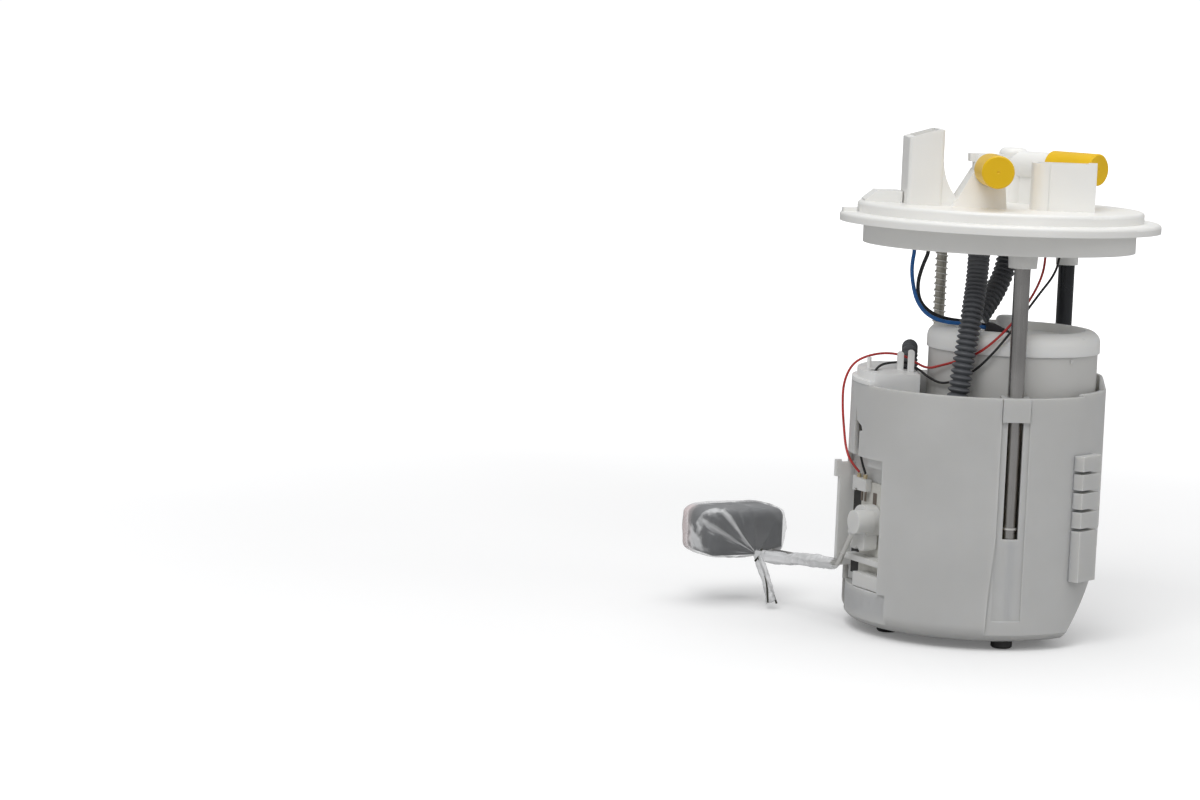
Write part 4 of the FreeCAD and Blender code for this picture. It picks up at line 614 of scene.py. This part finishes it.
def float_film(name, finish):
    """The film drawn round the float: a soft box pulled to its neck, with folds that fan out from there."""
    make = bmesh.new()
    bmesh.ops.create_icosphere(make, subdivisions=6, radius=1.0)
    to_neck = (BAG_NECK - FLOAT_MIDDLE).normalized()
    side = to_neck.cross(Vector((0, 0, 1))).normalized()
    up = side.cross(to_neck)
    for vertex in make.verts:
        ray = vertex.co.normalized()
        reach = sum(abs(ray[i] / BAG_HALF[i]) ** BAG_SQUARENESS for i in range(3)) ** (-1 / BAG_SQUARENESS)
        point = FLOAT_MIDDLE + ray * reach
        out = point - BAG_NECK
        turn = math.atan2(out.dot(up), out.dot(side))
        far = out.length
        wander = noise.noise(point * 0.09) * 1.3
        folds = 0.9 * folded(turn * 2.5 + wander) + 0.5 * folded(turn * 5.5 - 2 * wander + 0.7)
        crumple = 0.5 - abs(noise.noise(point * 0.16)) * 2
        lift = folds * eased(far, 1.0, 9.0) * (1 - 0.75 * eased(far, 12.0, 34.0)) + 0.35 * crumple
        point += ray * (lift - 0.5)
        pull = eased(ray.dot(to_neck), 0.80, 0.995)
        point = point.lerp(BAG_NECK + to_neck * 0.8, 0.9 * pull ** 1.5)
        vertex.co = at_sender(*point)
    return shell_object(name, make, finish)


def film_tube(name, points, radii, flat, folds, seed, finish, sides=36, rings=70):
    """A crumpled film tube through the points, given in the sender's directions."""
    make = bmesh.new()
    rows = []
    last = len(points) - 1
    for ring in range(rings + 1):
        along = ring / rings * last
        index = min(int(along), last - 1)
        share = eased(along - index, 0, 1)
        middle = points[index].lerp(points[index + 1], along - index)
        radius = radii[index] + (radii[index + 1] - radii[index]) * share
        ahead = (points[min(index + 2, last)] - points[max(index - 1, 0)]).normalized()
        side = ahead.cross(Vector((1, 0, 0))).normalized()
        face = side.cross(ahead)
        row = []
        for step in range(sides):
            turn = 2 * math.pi * step / sides
            spot = Vector((math.cos(turn) * 1.2, math.sin(turn) * 1.2, along * 1.7 + seed))
            ridge = folded(turn * folds / 2 + along * 0.5 + noise.noise(spot))
            wave = 0.86 + 0.2 * ridge + 0.1 * noise.noise(spot * 1.3)
            place = middle + (side * math.cos(turn) + face * math.sin(turn) * flat) * radius * wave
            row.append(make.verts.new(at_sender(*place)))
        rows.append(row)
    for near, next_row in zip(rows, rows[1:]):
        for step in range(sides):
            other = (step + 1) % sides
            make.faces.new((near[step], near[other], next_row[other], next_row[step]))
    return shell_object(name, make, finish)


# What a user may change

class ModuleSettings(bpy.types.PropertyGroup):
    """Sizes and colours of the module's dressing."""
    white: FloatVectorProperty(
        name="White Plastic", description="Colour of the flange",
        subtype="COLOR", default=(0.88, 0.875, 0.85))
    cup_white: FloatVectorProperty(
        name="Cup Plastic", description="Colour of the milky reservoir cup",
        subtype="COLOR", default=(0.59, 0.59, 0.58))
    yellow: FloatVectorProperty(
        name="Cap Yellow", description="Colour of the transit caps",
        subtype="COLOR", default=(0.84, 0.52, 0.0008))
    hose_grey: FloatVectorProperty(
        name="Hose Grey", description="Colour of the ribbed hoses",
        subtype="COLOR", default=(0.098, 0.103, 0.112))
    rib_pitch: FloatProperty(
        name="Rib Pitch", description="Distance from rib to rib on the hoses",
        default=0.0029, min=0.001, unit="LENGTH")
    rib_depth: FloatProperty(
        name="Rib Depth", description="Depth of the grooves between ribs",
        default=0.001, min=0.0, unit="LENGTH")
    lead_radius: FloatProperty(
        name="Lead Radius", description="Radius of the sender's leads",
        default=0.0005, min=0.0002, unit="LENGTH")
    spring_pitch: FloatProperty(
        name="Spring Pitch", description="Distance from turn to turn of the spring",
        default=0.0026, min=0.001, unit="LENGTH")
    focal_length: FloatProperty(
        name="Focal Length", description="Focal length of the scene's camera, in millimetres",
        default=102.69, min=10.0)


def settings():
    """The settings of this scene."""
    return bpy.context.scene.fuel_module


def place_camera(scene):
    """The camera, level turned by yaw, then tipped down by pitch and rolled, and the scene's own."""
    yaw, pitch, roll = CAMERA_YAW, CAMERA_PITCH, CAMERA_ROLL
    ahead = Vector((math.sin(yaw) * math.cos(pitch), math.cos(yaw) * math.cos(pitch), -math.sin(pitch)))
    level = Vector((math.cos(yaw), -math.sin(yaw), 0))
    above = level.cross(ahead)
    right = math.cos(roll) * level + math.sin(roll) * above
    top = -math.sin(roll) * level + math.cos(roll) * above
    data = bpy.data.cameras.new("Camera")
    data.lens = settings().focal_length
    data.clip_start = 0.05
    data.clip_end = 60
    camera = new_object("Camera", data)
    turn = Matrix((right, top, -ahead)).transposed().to_4x4()
    camera.matrix_world = Matrix.Translation(CAMERA_PLACE) @ turn
    scene.camera = camera


def floor_finish():
    """A pale floor that fades into the white round it, and gives back less light than it shows."""
    material, tree, shader = new_finish("Pale floor")
    seen = tree.nodes.new("ShaderNodeLightPath").outputs["Is Camera Ray"]
    tone = tree.nodes.new("ShaderNodeMix")
    tone.data_type = "RGBA"
    tone.inputs["A"].default_value = FLOOR_BOUNCE
    pale = ramp_of(tree, noise_of(tree, 3, 2).outputs["Fac"], (0.86, 0.86, 0.86), (0.9, 0.9, 0.9))
    tree.links.new(seen, tone.inputs["Factor"])
    tree.links.new(pale, tone.inputs["B"])
    tree.links.new(tone.outputs["Result"], shader.inputs["Base Color"])
    place = tree.nodes.new("ShaderNodeTexCoord")
    away = tree.nodes.new("ShaderNodeVectorMath")
    away.operation = "LENGTH"
    tree.links.new(place.outputs["Object"], away.inputs[0])
    lift = step_of(tree, away.outputs["Value"], 0.14, 1.0, 0.2, 1.6)
    tree.links.new(maths(tree, "MULTIPLY", lift, seen), shader.inputs["Emission Strength"])
    shader.inputs["Emission Color"].default_value = (1, 1, 1, 1)
    shader.inputs["Roughness"].default_value = 0.75
    return material


def lay_floor():
    """A wide round floor just under the feet."""
    mesh = bpy.data.meshes.new("Floor")
    make = bmesh.new()
    bmesh.ops.create_circle(make, cap_ends=True, radius=FLOOR_RADIUS, segments=64)
    bmesh.ops.translate(make, verts=make.verts, vec=(0, 0, -SEAT_HEIGHT - FLOOR_GAP))
    make.to_mesh(mesh)
    make.free()
    mesh.materials.append(floor_finish())
    new_object("Floor", mesh)


def light_studio(scene):
    """A soft white sky, brighter to the eye than as a light, and three soft lamps."""
    world = bpy.data.worlds.new("Studio")
    world.use_nodes = True
    tree = world.node_tree
    sky = tree.nodes["Background"]
    sky.inputs["Color"].default_value = (0.985, 0.99, 1.0, 1)
    seen = tree.nodes.new("ShaderNodeLightPath").outputs["Is Camera Ray"]
    shown = maths(tree, "MULTIPLY", seen, SKY_SEEN)
    tree.links.new(maths(tree, "MAXIMUM", shown, SKY_LIGHT), sky.inputs["Strength"])
    scene.world = world
    for name, place, size, power in LAMPS:
        lamp = bpy.data.lights.new(name, "AREA")
        lamp.size = size
        lamp.energy = power
        item = new_object(name, lamp)
        item.location = place
        item.rotation_euler = (LAMPS_AIM - Vector(place)).to_track_quat("-Z", "Y").to_euler()
    scene.view_settings.view_transform = "Standard"


class FUELMODULE_OT_stage(bpy.types.Operator):
    """Set the camera, the lights, the world and a plain pale floor"""
    bl_idname = "fuel_module.stage"
    bl_label = "Stage"

    def execute(self, context):
        place_camera(context.scene)
        lay_floor()
        light_studio(context.scene)
        return {"FINISHED"}


class FUELMODULE_OT_flange(bpy.types.Operator):
    """Finish the flange, its blades and the two transit caps"""
    bl_idname = "fuel_module.flange"
    bl_label = "Flange and Caps"

    def execute(self, context):
        paint(moulded_plastic("White flange plastic", settings().white, 0.36, 0.03, 0.15), "flange_plate")
        paint(metal("Contact metal", (0.66, 0.55, 0.34), 0.3, DRAWN_UP), "socket_terminals", "sender_terminals")
        paint(metal("Worn spring metal", (0.26, 0.22, 0.19), 0.4, DRAWN_UP), "contact_springs", "card_wiper")
        yellow = moulded_plastic("Yellow cap plastic", settings().yellow, 0.38, 0.08, 0.08)
        paint(yellow, "return_cap", "supply_cap")
        return {"FINISHED"}


class FUELMODULE_OT_guides(bpy.types.Operator):
    """Finish the rods and the drop tube, and wind the coil spring"""
    bl_idname = "fuel_module.guides"
    bl_label = "Guides and Spring"

    def execute(self, context):
        paint(metal("Ground steel", (0.40, 0.39, 0.38), 0.2, GROUND_UP), "front_guide_rod")
        paint(metal("Dull steel", (0.50, 0.48, 0.42), 0.5, DRAWN_UP), "rear_guide_rod")
        wire = metal("Spring wire", (0.86, 0.85, 0.82), 0.34, (1, 1, 1))
        paint(wire, "front_rod_clip", "rear_rod_clip", "arm_wire")
        paint(moulded_plastic("Black tube plastic", (0.012, 0.014, 0.018), 0.26, 0.3), "drop_tube")
        low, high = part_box("lift_spring")
        middle = (Vector(low) + Vector(high)) / 2
        outer = (high[0] - low[0]) / 2
        height = high[2] - low[2] - 2 * SPRING_WIRE_RADIUS
        carrier = new_object("coil_carrier", bpy.data.meshes.new("coil_carrier"))
        spring = baked("coil_spring", carrier, coil_tree(), {
            "Turns": height / settings().spring_pitch, "Coil Radius": outer - SPRING_WIRE_RADIUS,
            "Wire Radius": SPRING_WIRE_RADIUS, "Height": height,
            "Foot": (middle.x, middle.y, low[2] + SPRING_WIRE_RADIUS)}, wire)
        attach(spring, "reservoir")
        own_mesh(spring)
        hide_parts("lift_spring")
        return {"FINISHED"}


class FUELMODULE_OT_hoses(bpy.types.Operator):
    """Make the three ribbed hoses along their routes"""
    bl_idname = "fuel_module.hoses"
    bl_label = "Hoses"

    def execute(self, context):
        grey = settings().hose_grey
        pale = moulded_plastic("Return hose plastic", grey, 0.4, 0.2)
        dark = moulded_plastic("Supply hose plastic", shade(grey, 0.7), 0.36, 0.2)
        tree = ribbed_hose_tree()
        for each in HOSES:
            curve = route_curve(each.name + "_line", each.route)
            path = line_of(curve)
            length = length_of(path)
            rib = settings().rib_pitch * each.pitch
            hose = baked(each.name, curve, tree, {
                "Samples": int(length / rib * SAMPLES_PER_RIB), "Crest Radius": each.radius,
                "Rib Depth": settings().rib_depth * each.depth, "Rib Pitch": rib, "Pitch Growth": each.growth,
                "Fine Until": each.fine_until, "Sides": 28}, dark if each.name == "hose_supply" else pale)
            if each.name == "hose_supply":
                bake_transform(hose)
            else:
                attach(hose, "reservoir")
            if each.name == "hose_return":
                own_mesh(hose)
            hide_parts(each.node)
        return {"FINISHED"}


class FUELMODULE_OT_leads(bpy.types.Operator):
    """Make the four leads along their routes, and finish the plug on the lid"""
    bl_idname = "fuel_module.leads"
    bl_label = "Leads"

    def execute(self, context):
        blue = insulation("Blue insulation", (0.022, 0.15, 0.46))
        black = insulation("Black insulation", (0.018, 0.018, 0.019))
        red = insulation("Red insulation", (0.52, 0.03, 0.026))
        thick, thin = PUMP_LEAD_RADIUS, settings().lead_radius
        for each, radius, finish in zip(LEADS, (thick, thick, thin, thin), (blue, black, red, black)):
            line = route_curve(each.name + "_line", each.route)
            path = line_of(line)
            bpy.data.objects.remove(line)
            lead = as_mesh(route_curve(each.name, each.route, radius), finish)
            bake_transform(lead)
            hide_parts(each.node)
        paint(rubber("Plug plastic", (0.03, 0.03, 0.032), 0.5), "pump_plug")
        return {"FINISHED"}


class FUELMODULE_OT_reservoir(bpy.types.Operator):
    """Finish the cup, its feet, cover and valve"""
    bl_idname = "fuel_module.reservoir"
    bl_label = "Reservoir Cup"

    def execute(self, context):
        paint(moulded_plastic("Milky cup plastic", settings().cup_white, 0.38, 0.05, 0.7), "reservoir_cup")
        paint(moulded_plastic("Ivory plastic", (0.90, 0.90, 0.885), 0.4, 0.04, 0.3), "left_cover", "jet_pump")
        black = rubber("Black rubber", (0.02, 0.02, 0.02))
        paint(black, "rubber_feet", "check_valve", "lid_seal", "pump_sleeve")
        return {"FINISHED"}


class FUELMODULE_OT_can(bpy.types.Operator):
    """Finish the filter can, its lid and the pump inside"""
    bl_idname = "fuel_module.can"
    bl_label = "Filter Can and Pump"

    def execute(self, context):
        white = moulded_plastic("Can plastic", (0.64, 0.635, 0.615), 0.4, 0.04, 0.4)
        paint(white, "filter_can", "pump_inlet_cap", "pump_end_cap")
        paint(moulded_plastic("Lid plastic", (0.90, 0.90, 0.88), 0.4, 0.04, 0.5), "filter_lid")
        paint(rubber("Filter paper", (0.72, 0.62, 0.42), 0.8), "filter_element")
        drawn = metal("Drawn metal", (0.6, 0.6, 0.6), 0.35, (1, 1, 0.2))
        paint(drawn, "pressure_regulator", "pump_shell", "armature")
        paint(rubber("Ferrite", (0.06, 0.06, 0.065), 0.5), "pump_magnets")
        paint(rubber("Filled resin", (0.12, 0.10, 0.08), 0.5), "impeller")
        paint(rubber("Strainer mesh", (0.7, 0.7, 0.65), 0.8), "inlet_strainer")
        return {"FINISHED"}


class FUELMODULE_OT_sender(bpy.types.Operator):
    """Finish the float sender, its arm, the float and the film round it"""
    bl_idname = "fuel_module.sender"
    bl_label = "Sender and Float"

    def execute(self, context):
        white = moulded_plastic("Sender plastic", (0.70, 0.70, 0.685), 0.42, 0.05, 0.4)
        paint(white, "sender_housing", "arm_hub")
        paint(card_with_dark_strip("Ceramic card"), "sender_card")
        paint(rubber("Float foam", (0.045, 0.05, 0.056), 0.5), "float_body")
        film = float_film("bag_film", clear_film("Clear film", 0.15, 0.6, True))
        sleeve = film_tube(
            "sleeve_film", ARM_FILM, ARM_FILM_RADII, 0.85, 5, 3.0, clear_film("Sleeve film", 0.6, 0.16))
        tail = film_tube(
            "tail_film", TAIL_FILM, TAIL_FILM_RADII, 0.55, 4, 9.0, clear_film("Tail film", 0.54, 0.2))
        coat = rubber("Tie wire", (0.035, 0.035, 0.025), 0.45)
        ties = []
        for index, rows in enumerate(TIE_WIRES):
            tie = route_curve(f"tie_wire_{index + 1}", [at_sender(*row) for row in rows], TIE_WIRE_RADIUS)
            tie.data.materials.append(coat)
            ties.append(tie)
        for piece, node in (
                (film, "float_bag"), (sleeve, "arm_sleeve"), (tail, "bag_tail"), (ties[0], "twist_tie")):
            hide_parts(node)
        for piece in (film, sleeve, tail, *ties):
            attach(piece, "float_arm")
        return {"FINISHED"}


class FUELMODULE_PT_panel(bpy.types.Panel):
    """Lists the module's settings and the steps that make it"""
    bl_idname = "FUELMODULE_PT_panel"
    bl_label = "Fuel Pump Module"
    bl_space_type = "VIEW_3D"
    bl_region_type = "UI"
    bl_category = "Fuel Pump"

    def draw(self, context):
        column = self.layout.column(align=True)
        for name in ModuleSettings.__annotations__:
            column.prop(context.scene.fuel_module, name)
        for step in STEPS:
            self.layout.operator(step.bl_idname)


STEPS = (
    FUELMODULE_OT_stage, FUELMODULE_OT_leads, FUELMODULE_OT_hoses, FUELMODULE_OT_flange,
    FUELMODULE_OT_guides, FUELMODULE_OT_reservoir, FUELMODULE_OT_can, FUELMODULE_OT_sender)
CLASSES = (ModuleSettings, *STEPS, FUELMODULE_PT_panel)


def register():
    for cls in CLASSES:
        bpy.utils.register_class(cls)
    bpy.types.Scene.fuel_module = PointerProperty(type=ModuleSettings)


def unregister():
    del bpy.types.Scene.fuel_module
    for cls in reversed(CLASSES):
        bpy.utils.unregister_class(cls)


def main():
    register()
    for step in STEPS:
        group, action = step.bl_idname.split(".")
        getattr(getattr(bpy.ops, group), action)()


if __name__ == "__main__":
    main()
